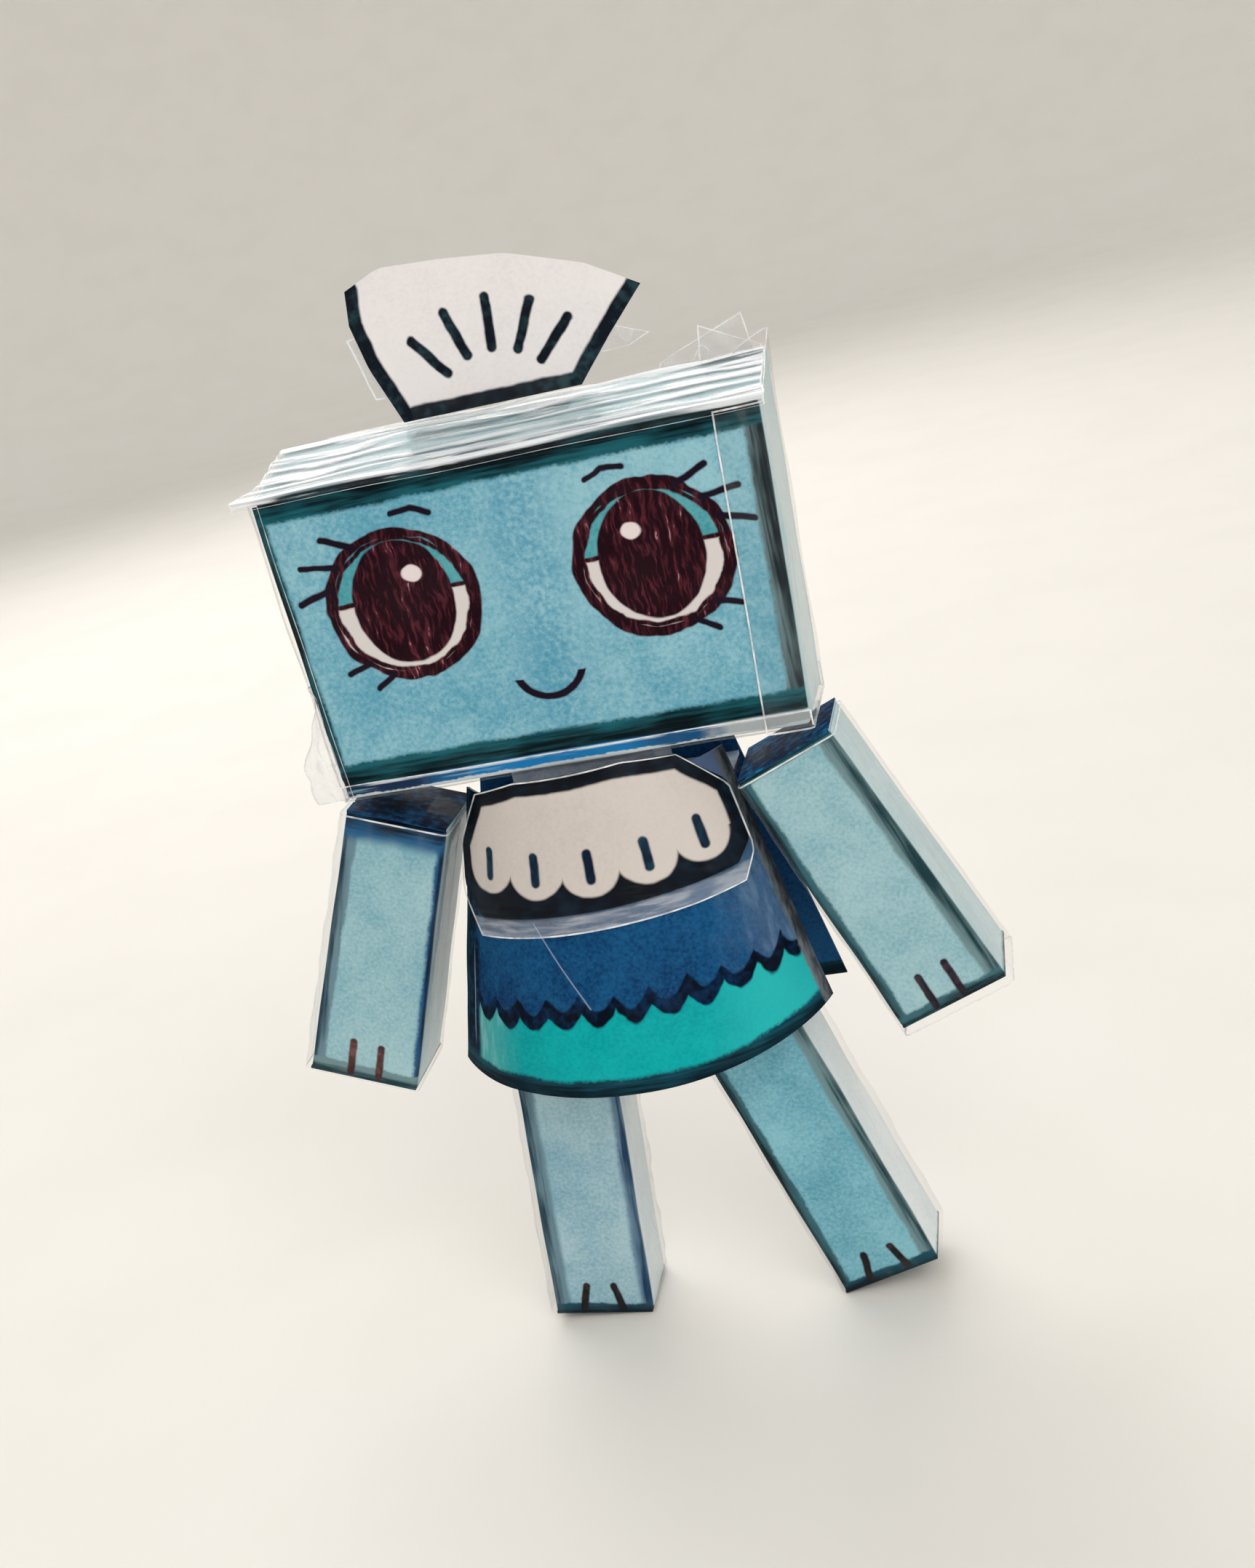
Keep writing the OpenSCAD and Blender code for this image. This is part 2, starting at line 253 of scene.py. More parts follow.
def oval(at, centre, radii):
    """Distance outside an oval round an (x, z) point, and below 0 inside it."""
    away = vector("SUBTRACT", at, {1: (centre[0], 0, centre[1])})
    away = vector("DIVIDE", away, {1: (radii[0], 1, radii[1])})
    return (vector("LENGTH", away, {}, out="Value") - 1) * min(radii)


def inked(distance, half, soft=0.14):
    """Cover of a line that is twice half wide."""
    return 1 - smooth(distance, half - soft, half + soft)


def streaked(at, run, size, detail=2.0):
    """Noise in streaks: blotches stretched by run along each axis."""
    return blotch(vector("DIVIDE", at, {1: run}), size, detail)


print("helpers for strokes are ready")

# %% [markdown]
# Felt-tip, watercolour and paper
# The doll's colours are felt-tip on the edges and watercolour on the faces, on drawing paper with a
# visible tooth. Both inks could be one flat colour with a border, but on the real sheet they dry in
# streaks, pools and specks. So each is two colours mixed by noise at the sizes that the eye sees, and a
# band grows drier towards its rim.

# %% Inks, washes and the finish of a sheet


def felt_tip(at, dark, pale):
    """Felt-tip colour: dark where the pen went twice, pale where it dried."""
    dry = blotch(at, 1.1, 4.0) * 0.65 + blotch(at, 6.0) * 0.5
    return mix(dark, pale, smooth(dry, 0.5, 0.8))


def edged(at, below, distance, width, inks, run, soft=0.3, fade=0.25):
    """A felt-tip band along an edge, over a colour: streaks along run, and drier by fade where it ends."""
    shake = (blotch(at, 5.0) - 0.5) * 0.9 + (blotch(at, 0.5) - 0.5) * 0.7
    cover = 1 - smooth(distance + shake, width - soft, width + soft)
    streaks = streaked(at, run, 0.8, 4.0)
    dry = streaks * 0.7 + blotch(at, 9.0) * 0.6 + smooth(distance, 0.2 * width, 1.1 * width) * fade
    return mix(below, mix(*inks, smooth(dry, 0.55, 0.98)), cover)


def wash(at, pale, deep, low=0.44, high=0.8):
    """Watercolour: broad pools, small clouds and specks of pigment in the paper's tooth."""
    pools = blotch(at, 15.0) * 0.45 + blotch(at, 2.6, 3.0) * 0.2
    pools = pools + blotch(at, 0.5, 3.0) * 0.4 + blotch(at, 0.2) * 0.15
    return mix(pale, deep, smooth(pools, low, high))


def taped_paper(at, colour, sheen=0.12):
    """Finish of a sheet: paper tooth in its roughness and relief, under the sheen of clear tape."""
    tooth = blotch(at, 0.2)
    relief = tooth + blotch(at, 5.0) * 2.5
    normal = at.node("ShaderNodeBump", {}, {"Strength": 0.3, "Distance": 0.03 * MM, "Height": relief})
    cover = smooth(blotch(at, 7.0), 0.35, 0.8) * sheen
    shader = at.node("ShaderNodeBsdfPrincipled", {"distribution": "GGX"},
                     {"Base Color": colour, "Roughness": 0.5 + tooth * 0.3, "Specular IOR Level": 0.06,
                      "Coat Weight": cover, "Coat Roughness": 0.18, "Normal": normal})
    shader.node("ShaderNodeOutputMaterial", {}, {"Surface": shader}, out=None)


print("helpers for inks and paper are ready")

# %% [markdown]
# Grids of points
# Paper and tape are thin, so each piece starts as a grid of points on the middle of its sheet. Handled
# paper is never flat: noise lifts the grid off itself in soft lumps, or in sharp creases for squeezed
# tape. A cloth simulation could do that, but stiff card and stuck tape hardly drape, and noise is the
# same on each run.

# %% Normals, lumps and hems


def normals(grid):
    """Unit normals of a grid of points."""
    across = np.gradient(grid, axis=1)
    along = np.gradient(grid, axis=0)
    normal = np.cross(across, along)
    return normal / np.maximum(np.linalg.norm(normal, axis=2, keepdims=True), 1e-9)


def crumpled(grid, size, height, seed=0.0, sharp=False):
    """A grid lifted off itself by lumps of about that size and height, with sharp creases if asked."""
    shift = Vector((seed, 2 * seed, 3 * seed))
    lumps = np.array([[noise.noise(Vector(point) / size + shift) for point in row] for row in grid])
    lumps = 1 - 3 * np.abs(lumps) if sharp else lumps
    return grid + normals(grid) * (height * lumps)[..., None]


def hemmed(grid, width=0.2):
    """A grid with one more row and column close inside each edge, for the bright line of a cut."""
    for _ in range(2):
        steps = np.linalg.norm(grid[[1, -2]] - grid[[0, -1]], axis=-1, keepdims=True)
        share = np.minimum(width / np.maximum(steps, 1e-9), 0.5)
        inside = grid[[0, -1]] + (grid[[1, -2]] - grid[[0, -1]]) * share
        grid = np.concatenate([grid[:1], inside[:1], grid[1:-1], inside[1:], grid[-1:]]).swapaxes(0, 1)
    return grid


print("grids can be crumpled and hemmed")

# %% [markdown]
# Sheets with a real thickness
# A grid becomes a sheet with a front, a back and a rim, at the real thickness of drawing paper or of
# tape. A Solidify modifier could thicken it, but building both faces and the rim at once keeps the mesh
# closed and final. The rim's edges are marked sharp, and a strip of tape can have a second finish along
# its cut edge.

# %% From a grid of points to a sheet
PAPER = 0.35
TAPE = 0.1


def quads(at):
    """The faces between the points of a grid of point numbers."""
    return np.stack([at[:-1, :-1], at[:-1, 1:], at[1:, 1:], at[1:, :-1]], axis=-1)


def sheet(name, grids, thick, finish, edge=None, place=None):
    """An object of thin sheets. Each grid is rows by columns of points on the middle of one sheet."""
    points, faces, cut, rims = [], [], [], set()
    for grid in grids:
        grid = hemmed(grid) if edge else grid
        count = grid.shape[0] * grid.shape[1]
        base = sum(len(part) for part in points)
        lift = normals(grid) * thick / 2
        points += [(grid + lift).reshape(-1, 3), (grid - lift).reshape(-1, 3)]
        top = np.arange(count).reshape(grid.shape[:2]) + base
        ring = np.concatenate([top[0, :-1], top[:-1, -1], top[-1, :0:-1], top[:0:-1, 0]])
        after = np.roll(ring, -1)
        border = np.ones((grid.shape[0] - 1, grid.shape[1] - 1), bool)
        border[1:-1, 1:-1] = False
        for layer in (quads(top), quads(top + count)[..., ::-1]):
            faces += layer.reshape(-1, 4).tolist()
            cut += border.ravel().tolist()
        faces += np.stack([after, ring, ring + count, after + count], axis=1).tolist()
        cut += [True] * len(ring)
        for first, last in zip(ring.tolist(), after.tolist()):
            rims |= {frozenset((first, last)), frozenset((first + count, last + count))}
    mesh = bpy.data.meshes.new(name)
    mesh.from_pydata((np.concatenate(points) * MM).tolist(), [], faces)
    mesh.polygons.foreach_set("use_smooth", [True] * len(faces))
    for side in mesh.edges:
        side.use_edge_sharp = frozenset(side.vertices) in rims
    mesh.materials.append(finish)
    if edge:
        mesh.materials.append(edge)
        mesh.polygons.foreach_set("material_index", [int(flag) for flag in cut])
    piece = bpy.data.objects.new(name, mesh)
    bpy.context.scene.collection.objects.link(piece)
    piece.matrix_world = place or Matrix.Identity(4)
    return piece


def settle(piece, body, slot, *nodes):
    """Let a piece ride on a body, in place of some solids or of none."""
    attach(piece, body)
    if nodes:
        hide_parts(*nodes)
    print(piece.name, "rides on", body, "with", len(piece.data.vertices), "points")


print("paper", PAPER, "mm, tape", TAPE, "mm")

# %% [markdown]
# Clear tape
# Tape is almost invisible where it lies flat. It shows by its gloss, by milky creases and by bright cut
# edges. Real refraction would darken the paper under it, so the film is a mix: transparent, with a
# mirror-like gloss that grows at a low angle, and a milky share that follows long thin noise for the
# creases.

# %% Films and their cut edge


def clear_film(name, haze, crease_run, grey=0.99, lines=None, gloss_share=0.4):
    """Tape with some haze and a grey tint; crease_run stretches its creases, lines adds a milky mask of
    folds, partly painted glare on the roof and collar.
    """
    material, at = start(name)
    crease = smooth(streaked(at, crease_run, 1.0, 3.0), 0.56, 0.7)
    cloud = smooth(blotch(at, 3.0, 3.0), 0.45, 0.8)
    normal = at.node("ShaderNodeBump", {}, {"Strength": 0.5, "Distance": 0.12 * MM,
                                            "Height": crease + cloud * 0.7})
    clear = at.node("ShaderNodeBsdfTransparent", {}, {"Color": (grey, grey, grey, 1.0)})
    gloss = at.node("ShaderNodeBsdfAnisotropic", {}, {"Roughness": 0.12, "Normal": normal})
    facing = at.node("ShaderNodeLayerWeight", {}, {"Blend": 0.5, "Normal": normal}, out="Facing")
    shine = facing.math("POWER", facing, 5.0) * gloss_share + 0.003
    film = at.node("ShaderNodeMixShader", {}, {0: shine, 1: clear, 2: gloss})
    milky = at.node("ShaderNodeBsdfPrincipled", {},
                    {"Base Color": paint(238, 242, 246), "Roughness": 0.25, "Normal": normal})
    share = (crease * 0.5 + cloud * 0.35 + 0.15) * haze
    share = most(share, lines(at)) if lines else share
    body = at.node("ShaderNodeMixShader", {}, {0: share, 1: film, 2: milky})
    at.node("ShaderNodeOutputMaterial", {}, {"Surface": body}, out=None)
    return material


def cut_edge():
    """The bright line along a cut edge of tape."""
    material, at = start("tape_cut_edge")
    glint = smooth(blotch(at, 2.5, 3.0), 0.35, 0.7)
    clear = at.node("ShaderNodeBsdfTransparent")
    white = at.node("ShaderNodeBsdfPrincipled", {},
                    {"Base Color": paint(244, 246, 248), "Roughness": 0.2 + glint * 0.3})
    body = at.node("ShaderNodeMixShader", {}, {0: 0.3 + glint * 0.6, 1: clear, 2: white})
    at.node("ShaderNodeOutputMaterial", {}, {"Surface": body}, out=None)
    return material


def crinkles(at):
    """A few thin bright creases where loose tape was squeezed."""
    line = abs(streaked(shaken(at, 4.0, 0.5), (4.0, 4.0, 9.0), 1.0, 1.0) - 0.5)
    return (1 - smooth(line, 0.004, 0.014)) * (0.15 + smooth(blotch(at, 2.0), 0.4, 0.7) * 0.5)


tape_edge = cut_edge()
flat_film = clear_film("flat_tape", 0.015, (2.0, 2.0, 2.0))
dull_film = clear_film("dull_tape", 0.02, (2.0, 2.0, 2.0), gloss_share=0.06)
loose_film = clear_film("loose_tape", 0.42, (1.6, 1.6, 5.0), 0.97, crinkles)
end_film = clear_film("head_end_tape", 0.035, (3.0, 3.0, 12.0))
limb_film = clear_film("limb_tape", 0.02, (1.2, 1.2, 14.0))
print("films for flat, loose and wrapped tape, and one cut edge")

# %% [markdown]
# The head box
# The head is a tray of coloured paper: a front with four walls folded back from it, and a flat back. A
# cube with a bevel would give six even faces, but this roof rises to the back and the front is wider on
# top. So the points of a box are pushed out from a smaller box inside it, which rounds every fold
# alike, and one formula then shapes the walls.

# %% Measure the head
head_low, head_high = corners("head_tray", "head_back")
tray_solid = solid_points("head_tray")
roof_front = tray_solid[tray_solid[:, 1] < head_low[1] + 0.1, 2].max()
roof_back = head_high[2]
head_half = (head_high[0] - head_low[0]) / 2
head_depth = head_high[1] - head_low[1]
HEAD_FLARE = 0.75
HEAD_FOLD = 0.6
BOW, BOW_SIZE, BOW_SEED = 0.22, 14, 3
noise.seed_set(BOW_SEED)


def half_width(z):
    """Half the width of the head at a height: it flares a little to the top."""
    return head_half + HEAD_FLARE * (2 * (z - head_low[2]) / (roof_front - head_low[2]) - 1)


def roof(y):
    """Height of the roof, which rises to the back."""
    return roof_front + (roof_back - roof_front) * (y - head_low[1]) / head_depth


print("head is", round(2 * head_half, 1), "mm wide and", round(head_depth, 1), "mm deep")

# %% [markdown]
# Round folds
# Folded card has no sharp corner: the sheet turns over about half a millimetre. A Bevel modifier could
# round a cube's edges, but the tray has no back, and its open rim has to stay square. Each wall's
# points are held off the nearest point of a smaller box inside by the same length, as a fold does.

# %% Walls with folds between them


def box_wall(fixed, level, lines):
    """Points of one wall of a unit box: lines of 0 to 1 on two axes, and a level on the fixed one."""
    first, second = np.meshgrid(*lines, indexing="ij")
    wall = np.full((*first.shape, 3), float(level))
    free = [axis for axis in range(3) if axis != fixed]
    wall[..., free[0]] = first
    wall[..., free[1]] = second
    return wall


def folded_box(walls, size, fold):
    """Walls of a box of that size with round folds, as one set of points and faces."""
    lines = []
    for length in size:
        flat = np.linspace(fold, length - fold, max(4, int(length / 2.5)) + 1)
        lines.append(np.concatenate([[0, 0.35 * fold], flat, [length - 0.35 * fold, length]]) / length)
    numbers, faces = {}, []
    for axis, level in walls:
        free = [lines[other] for other in range(3) if other != axis]
        wall = box_wall(axis, level, free) * size
        inner = np.clip(wall, fold, np.array(size) - fold)
        out = wall - inner
        wall = inner + fold * out / np.maximum(np.linalg.norm(out, axis=2, keepdims=True), 1e-9)
        keys = np.array([[numbers.setdefault(tuple(np.round(point, 4)), len(numbers)) for point in row]
                         for row in wall])
        made = quads(keys).reshape(-1, 4)
        faces += (made if (level > 0) == (axis == 1) else made[:, ::-1]).tolist()
    return np.array(list(numbers)), faces


def bowed(points):
    """Points on the head moved as its thin walls bow, so that tape and paper stay together."""
    flat = np.reshape(points, (-1, 3))
    bow = np.array([noise.noise_vector(Vector(point) / BOW_SIZE) for point in flat])
    return (flat + BOW * bow).reshape(np.shape(points))


def head_shape(points):
    """Points of a plain box in millimetres, shaped by the roof and the flare and bowed a little."""
    y = head_low[1] + points[:, 1]
    z = head_low[2] + points[:, 2] / (roof_front - head_low[2]) * (roof(y) - head_low[2])
    x = (points[:, 0] / head_half - 1) * half_width(z)
    return bowed(np.stack([x, y, z], axis=1))


print("folds turn over", HEAD_FOLD, "mm, and walls bow by up to", BOW, "mm")

# %% [markdown]
# The tray
# The tray is five of a box's six walls: the front, both ends, the bottom and the roof. They could be
# five sheets, but it is one piece of card, so they share the points along their folds. A Solidify
# modifier then thickens the card inward, which serves here, because the tray is stiff and never bends.

# %% Fold the tray
tray_walls = [(1, 0), (0, 0), (0, 1), (2, 0), (2, 1)]
tray_size = (2 * head_half, head_depth - PAPER, roof_front - head_low[2])
tray_points, tray_faces = folded_box(tray_walls, tray_size, HEAD_FOLD)
tray_mesh = bpy.data.meshes.new("head_tray_paper")
tray_mesh.from_pydata((head_shape(tray_points) * MM).tolist(), [], tray_faces)
tray_mesh.polygons.foreach_set("use_smooth", [True] * len(tray_faces))
head_tray = bpy.data.objects.new("head_tray_paper", tray_mesh)
bpy.context.scene.collection.objects.link(head_tray)
paper_wall = head_tray.modifiers.new("paper", "SOLIDIFY")
paper_wall.thickness = PAPER * MM
paper_wall.offset = -1
settle(head_tray, "head", "face_paper", "head_tray")

# %% [markdown]
# The eyes
# The face is a plain doll's face of its own, even on both sides, with eyes inked in dark red pen. It
# could be drawn on a flat image and unwrapped, but here nodes measure each mark from the box itself.
# The place is folded at the middle of the head, so that each eye mark is made once and shows twice.

# %% Marks of the eyes
EYE, EYE_RADII = (15.4, 102.4), (9.0, 8.7)
IRIS_RADII = (6.3, 7.5)
UPPER_LASHES = ((22, 3.6), (42, 4.0), (62, 3.4))
LOWER_LASHES = (-48, -68)


def ring_point(angle, out):
    """A point outside the eye's oval, at an angle from straight outward."""
    turn = math.radians(angle)
    x, z = (radius + out for radius in EYE_RADII)
    return EYE[0] + x * math.cos(turn), EYE[1] + z * math.sin(turn)


def folded(at):
    """A place with Y left out and both sides folded onto one."""
    x, _, z = split(at)
    return joined(abs(x), 0.0, z)


def eye_marks(at):
    """Masks of both eyes at once: white, lid, scribbled ink, lashes and glint."""
    first, again = folded(shaken(at, 4.0, 0.4)), folded(shaken(at, 2.3, 0.5))
    eye = oval(first, EYE, EYE_RADII)
    weight = 0.35 + smooth(blotch(at, 5.0), 0.3, 0.7) * 0.45
    rim = most(inked(abs(eye) - weight, 0.0), inked(abs(oval(again, EYE, EYE_RADII) + 0.7), 0.3))
    iris = inked(oval(first, (EYE[0] - 0.2, EYE[1] + 0.3), IRIS_RADII), 0.0)
    inside = inked(eye, 0.0)
    lid_z = EYE[1] + 1.0
    lid = smooth(split(first)[2] - lid_z, -0.1, 0.1) * inside
    ends = [(EYE[0] + way * EYE_RADII[0], lid_z) for way in (-1, 1)]
    seam = inked(stroke(first, *ends), 0.3) * inside
    lashes = [stroke(first, ring_point(turn, 0), ring_point(turn - 12, length))
              for turn, length in UPPER_LASHES]
    lashes += [stroke(first, ring_point(turn, 0), ring_point(turn + 8, 2.4)) for turn in LOWER_LASHES]
    glint = inked(oval(first, (EYE[0] - 2.0, EYE[1] + 3.4), (1.2, 1.0)), 0.0)
    return inside, lid, most(rim, iris, seam), inked(least(*lashes), 0.4), glint


print("an eye is", [2 * radius for radius in EYE_RADII], "mm, lashes", len(UPPER_LASHES + LOWER_LASHES))

# %% [markdown]
# The strip under the face
# Below the lower band, a narrow strip of the tray's bottom fold shows: brighter blue, scuffed and torn
# to white. A wall of its own could carry it, but it is the same sheet, so it is one more colour at the
# foot of the front. Streaks run along the fold, and the blue changes from end to end. A thin white line
# of painted glare runs near the top of the strip.

# %% Colour of the strip
STRIP, STRIP_PALE = 2.0, 0.6
ALONG_X, ALONG_Z = (9.0, 1.0, 0.5), (0.5, 1.0, 9.0)


def chin_strip(at):
    """Colour of the narrow strip under the lower band: blue paper with torn white tape at its foot, and a
    thin line of painted glare near its top.
    """
    x, _, z = split(at)
    streaks = streaked(at, ALONG_X, 0.9, 3.0)
    blue = mix(paint(2, 36, 74), paint(8, 118, 182), smooth(x + blotch(at, 4.0) * 16, -14.0, -2.0))
    blue = mix(blue, paint(4, 60, 104), smooth(x, 6.0, 12.0) * 0.8)
    blue = mix(blue, paint(126, 168, 188), smooth(streaks, 0.54, 0.66) * 0.7)
    blue = mix(blue, paint(166, 174, 178), smooth(x + blotch(at, 2.0) * 6, 18.0, 23.0))
    ragged = blotch(at, 8.0) + blotch(at, 0.6, 3.0) * 0.5
    torn = smooth(z - head_low[2] + ragged, STRIP_PALE + 0.6, STRIP_PALE + 0.8)
    # A painted highlight: a thin white line of glare near the top of the strip, broken by noise.
    glare = inked(abs(z - head_low[2] - STRIP + 0.3), 0.16, 0.1) * smooth(blotch(at, 9.0), 0.4, 0.55)
    return mix(mix(paint(196, 208, 214), blue, torn), paint(224, 232, 236), glare * 0.85)


print("the strip is", STRIP, "mm high")

# %% [markdown]
# The face
# The front of the head is a watercolour ground with a deeper pool in the middle, and felt-tip bands on
# all four edges. The drawing goes on in the order of the real one: ground, eyes, fine pen lines, and
# the bands last. Behind the folds the same sheet is paler, so one finish serves the front, the walls
# and the back.

# %% Draw the face
BAND_TOP, BAND_BOTTOM, BAND_LEFT, BAND_RIGHT = 2.7, 2.6, 1.4, 2.2
SMILE, SMILE_R = (0.0, 92.4), 4.2
BROW = ((9.4, 112.5), (11.6, 113.4), (14.0, 113.2))
sky_pale, sky_deep = paint(146, 193, 206), paint(84, 153, 178)
ink_dark, ink_pale = paint(30, 6, 17), paint(86, 34, 46)
line_ink = paint(24, 12, 30)
band_inks = paint(2, 16, 22), paint(26, 92, 104)
grey_inks = paint(8, 24, 30), paint(106, 130, 136)


def front_of(y, front):
    """1 on a front face and 0 behind its fold."""
    return 1 - smooth(y, front + 0.3, front + 0.8)


def strokes(at, points):
    """Distance from a run of straight strokes through some (x, z) points."""
    return least(*[stroke(at, first, last) for first, last in zip(points, points[1:])])


def face_finish():
    material, at = start("face_paper_drawn")
    x, y, z = split(at)
    front = front_of(y, head_low[1])
    half = half_width(z)
    strip_top = head_low[2] + STRIP
    pool = smooth(blotch(at, 0.7, 4.0) + blotch(at, 6.0) * 0.5, 0.55, 0.95)
    middle = (1 - smooth(abs(x - 1), 0.0, 8.0)) * pool
    drawn = mix(wash(at, sky_pale, sky_deep), paint(66, 140, 172), middle * 0.7)

    hand = folded(shaken(at, 2.6, 0.3))
    inside, lid, ink, lashes, glint = eye_marks(at)
    below = smooth(SMILE[1] - split(hand)[2], 1.5, 1.7)
    smile = inked(abs(oval(hand, SMILE, (SMILE_R, SMILE_R))), 0.46) * below
    brow = inked(strokes(hand, BROW), 0.38)
    scribble = streaked(shaken(at, 3.0, 0.8), (0.45, 1.0, 2.8), 1.0, 3.0)
    dark = mix(ink_dark, ink_pale, smooth(scribble, 0.46, 0.7))
    dark = mix(dark, paint(186, 150, 156), smooth(scribble, 0.68, 0.74) * 0.7)
    drawn = mix(drawn, paint(212, 207, 206), inside)
    drawn = mix(drawn, wash(at, paint(92, 164, 172), paint(48, 136, 152)), lid)
    drawn = mix(drawn, dark, ink)
    drawn = mix(drawn, paint(226, 214, 216), glint)
    drawn = mix(drawn, line_ink, most(lashes, smile, brow))

    edges = ((x + half, BAND_LEFT, band_inks, ALONG_Z),
             (half - x, BAND_RIGHT, grey_inks, ALONG_Z),
             (roof_front - z, BAND_TOP, band_inks, ALONG_X),
             (z - strip_top, BAND_BOTTOM, band_inks, ALONG_X))
    for distance, width, inks, run in edges:
        drawn = edged(at, drawn, distance, width, inks, run)
    drawn = mix(chin_strip(at), drawn, smooth(z - strip_top, -0.15, 0.1))
    walls = wash(at, paint(206, 223, 227), paint(170, 205, 214))
    taped_paper(at, mix(walls, drawn, front))
    return material


face_paper = face_finish()
tray_mesh.materials.append(face_paper)
print("face material has", len(face_paper.node_tree.nodes), "nodes")

# %% [markdown]
# The back of the head
# A flat sheet closes the tray behind. The photograph doesn't show it, so it has the pale wash of the
# walls. It could be a plain rectangle, but the head flares to the top, so each row of its grid is as
# wide as the walls are at that height.

# %% A sheet behind the tray
back_x, back_z = np.meshgrid(np.linspace(1, -1, 28), np.linspace(0, 1, 18))
back_y = np.full_like(back_x, head_high[1] - PAPER / 2)
back_height = head_low[2] + back_z * (roof_back - head_low[2])
back_grid = np.stack([back_x * half_width(back_height), back_y, back_height], axis=-1)
head_back = sheet("head_back_paper", [bowed(back_grid)], PAPER, face_paper)
settle(head_back, "head", "face_paper", "head_back")

# %% [markdown]
# Tape over the roof
# Four strips close the head box: over the roof, under the chin and round both ends. The roof's is the
# most creased. A cloth simulation could crease the film, but long thin noise gives the same ridges and
# never moves by chance. The strip follows the paper a hair outside it. Its front corners stick out past
# the ends as small ears, and white lines run along the front edge in its finish: folds in the tape,
# painted white as the glare of the light from behind.

# %% The strip over the roof
STAND, TURN = 0.2, 0.3
ROOF_FOLD, CHIN_FOLD, BACK_FOLD = 0.8, 2.1, 3.0
ROOF_GLARE_LINES = ((0.5, 0.5), (1.7, 0.2), (2.9, 0.3), (5.2, 0.16), (8.4, 0.26), (11.6, 0.22), (14.8, 0.7))
ROOF_RIDGE, EAR_LEFT, EAR_RIGHT = 0.75, 2.6, 0.5
front_y, rear_y = head_low[1] - STAND, head_high[1] + STAND


def over_edges(front_fold, fold_z, rise):
    """A strip's path in Y and Z: down the front, across the box and down the back; rise is 1 or -1."""
    front, rear = fold_z(front_y) + rise * STAND, fold_z(rear_y) + rise * STAND
    over = np.linspace(front_y + TURN, rear_y - TURN, 27)
    y = np.concatenate([np.full(8, front_y), over, np.full(6, rear_y)])
    z = np.concatenate([np.linspace(front - rise * front_fold, front - rise * TURN, 8),
                        np.interp(over, [front_y, rear_y], [front, rear]),
                        np.linspace(rear - rise * TURN, rear - rise * BACK_FOLD, 6)])
    return y, z


def along_head(path, left, right, steps=64):
    """A grid of the path swept along X between ends that may differ from point to point."""
    y, z = path
    share = np.linspace(0, 1, steps)[:, None]
    x = left + (right - left) * share + np.zeros(len(y))
    return np.stack([x, np.broadcast_to(y, x.shape), np.broadcast_to(z, x.shape)], axis=-1)


def roof_folds_and_glare(at):
    """Folds in the tape along the front edge of the roof, whitened with painted glare of the light from
    behind.
    """
    x, _, z = split(at)
    on_top = smooth(z, roof_front - 0.25, roof_front + 0.05)
    ends = smooth(abs(x), 12.0, 27.0)
    y = split(shaken(vector("DIVIDE", at, {1: (16.0, 1.0, 1.0)}), 1.4, 0.45))[1]
    # Each fold line and the streaked patches are white painted glare, as the light from behind would shine
    # on the creased tape.
    folds = [inked(abs(y - head_low[1] - place), half, 0.12) for place, half in ROOF_GLARE_LINES]
    patch = smooth(streaked(at, (15.0, 1.3, 3.0), 1.0, 3.0) + ends * 0.09, 0.55, 0.64)
    broken_glare = smooth(streaked(at, (14.0, 2.0, 2.0), 1.0) + ends * 0.12, 0.34, 0.52)
    rims = most(folds[0], folds[-1] * (0.3 + ends * 0.7))
    return most(rims * 0.92, most(*folds[1:-1]) * broken_glare * 0.85, patch * 0.8) * on_top


def long_ridge(point):
    """How far a crease along the roof stands up at a point, from 0 to 1."""
    return abs(noise.noise(Vector((point[0] / 22, point[1] / 1.5, point[2] / 6))))


# The roof's tape gets painted glare through its milky lines.
roof_finish = clear_film("roof_tape", 0.02, (30.0, 1.0, 1.0), lines=roof_folds_and_glare)
roof_path = over_edges(ROOF_FOLD, roof, 1)
near_edge = np.exp(-((roof_path[0] - front_y - 1.0) / 2.2) ** 2) * (roof_path[1] > roof_front - 1)
roof_ends = half_width(roof_front) + 0.25
roof_grid = along_head(roof_path, -roof_ends - EAR_LEFT * near_edge, roof_ends + EAR_RIGHT * near_edge)
ridge = np.array([[long_ridge(point) for point in row] for row in roof_grid])
on_roof = (roof_path[1] > roof_front) & (roof_path[0] < rear_y - 0.2)
roof_grid[..., 2] += ROOF_RIDGE * ridge * on_roof
roof_film = sheet("head_top_film", [bowed(roof_grid[::-1])], TAPE, roof_finish, tape_edge)
settle(roof_film, "head", "clear_tape", "head_top_tape")

# %% [markdown]
# Tape under the chin
# A strip runs under the head from front to back, and one loose flap of tape sticks out at the lower
# left. The strip is the roof's path upside down, over a level bottom. The flap bends back by itself, so
# it is a free grid with sharp creases and a milkier film.

# %% The strip under the chin and its flap
FLAP_TOP, FLAP_LENGTH, FLAP_WIDTH = 15, 14.8, 4.4


def chin(_):
    """Height of the head's bottom, which is level from front to back."""
    return head_low[2]


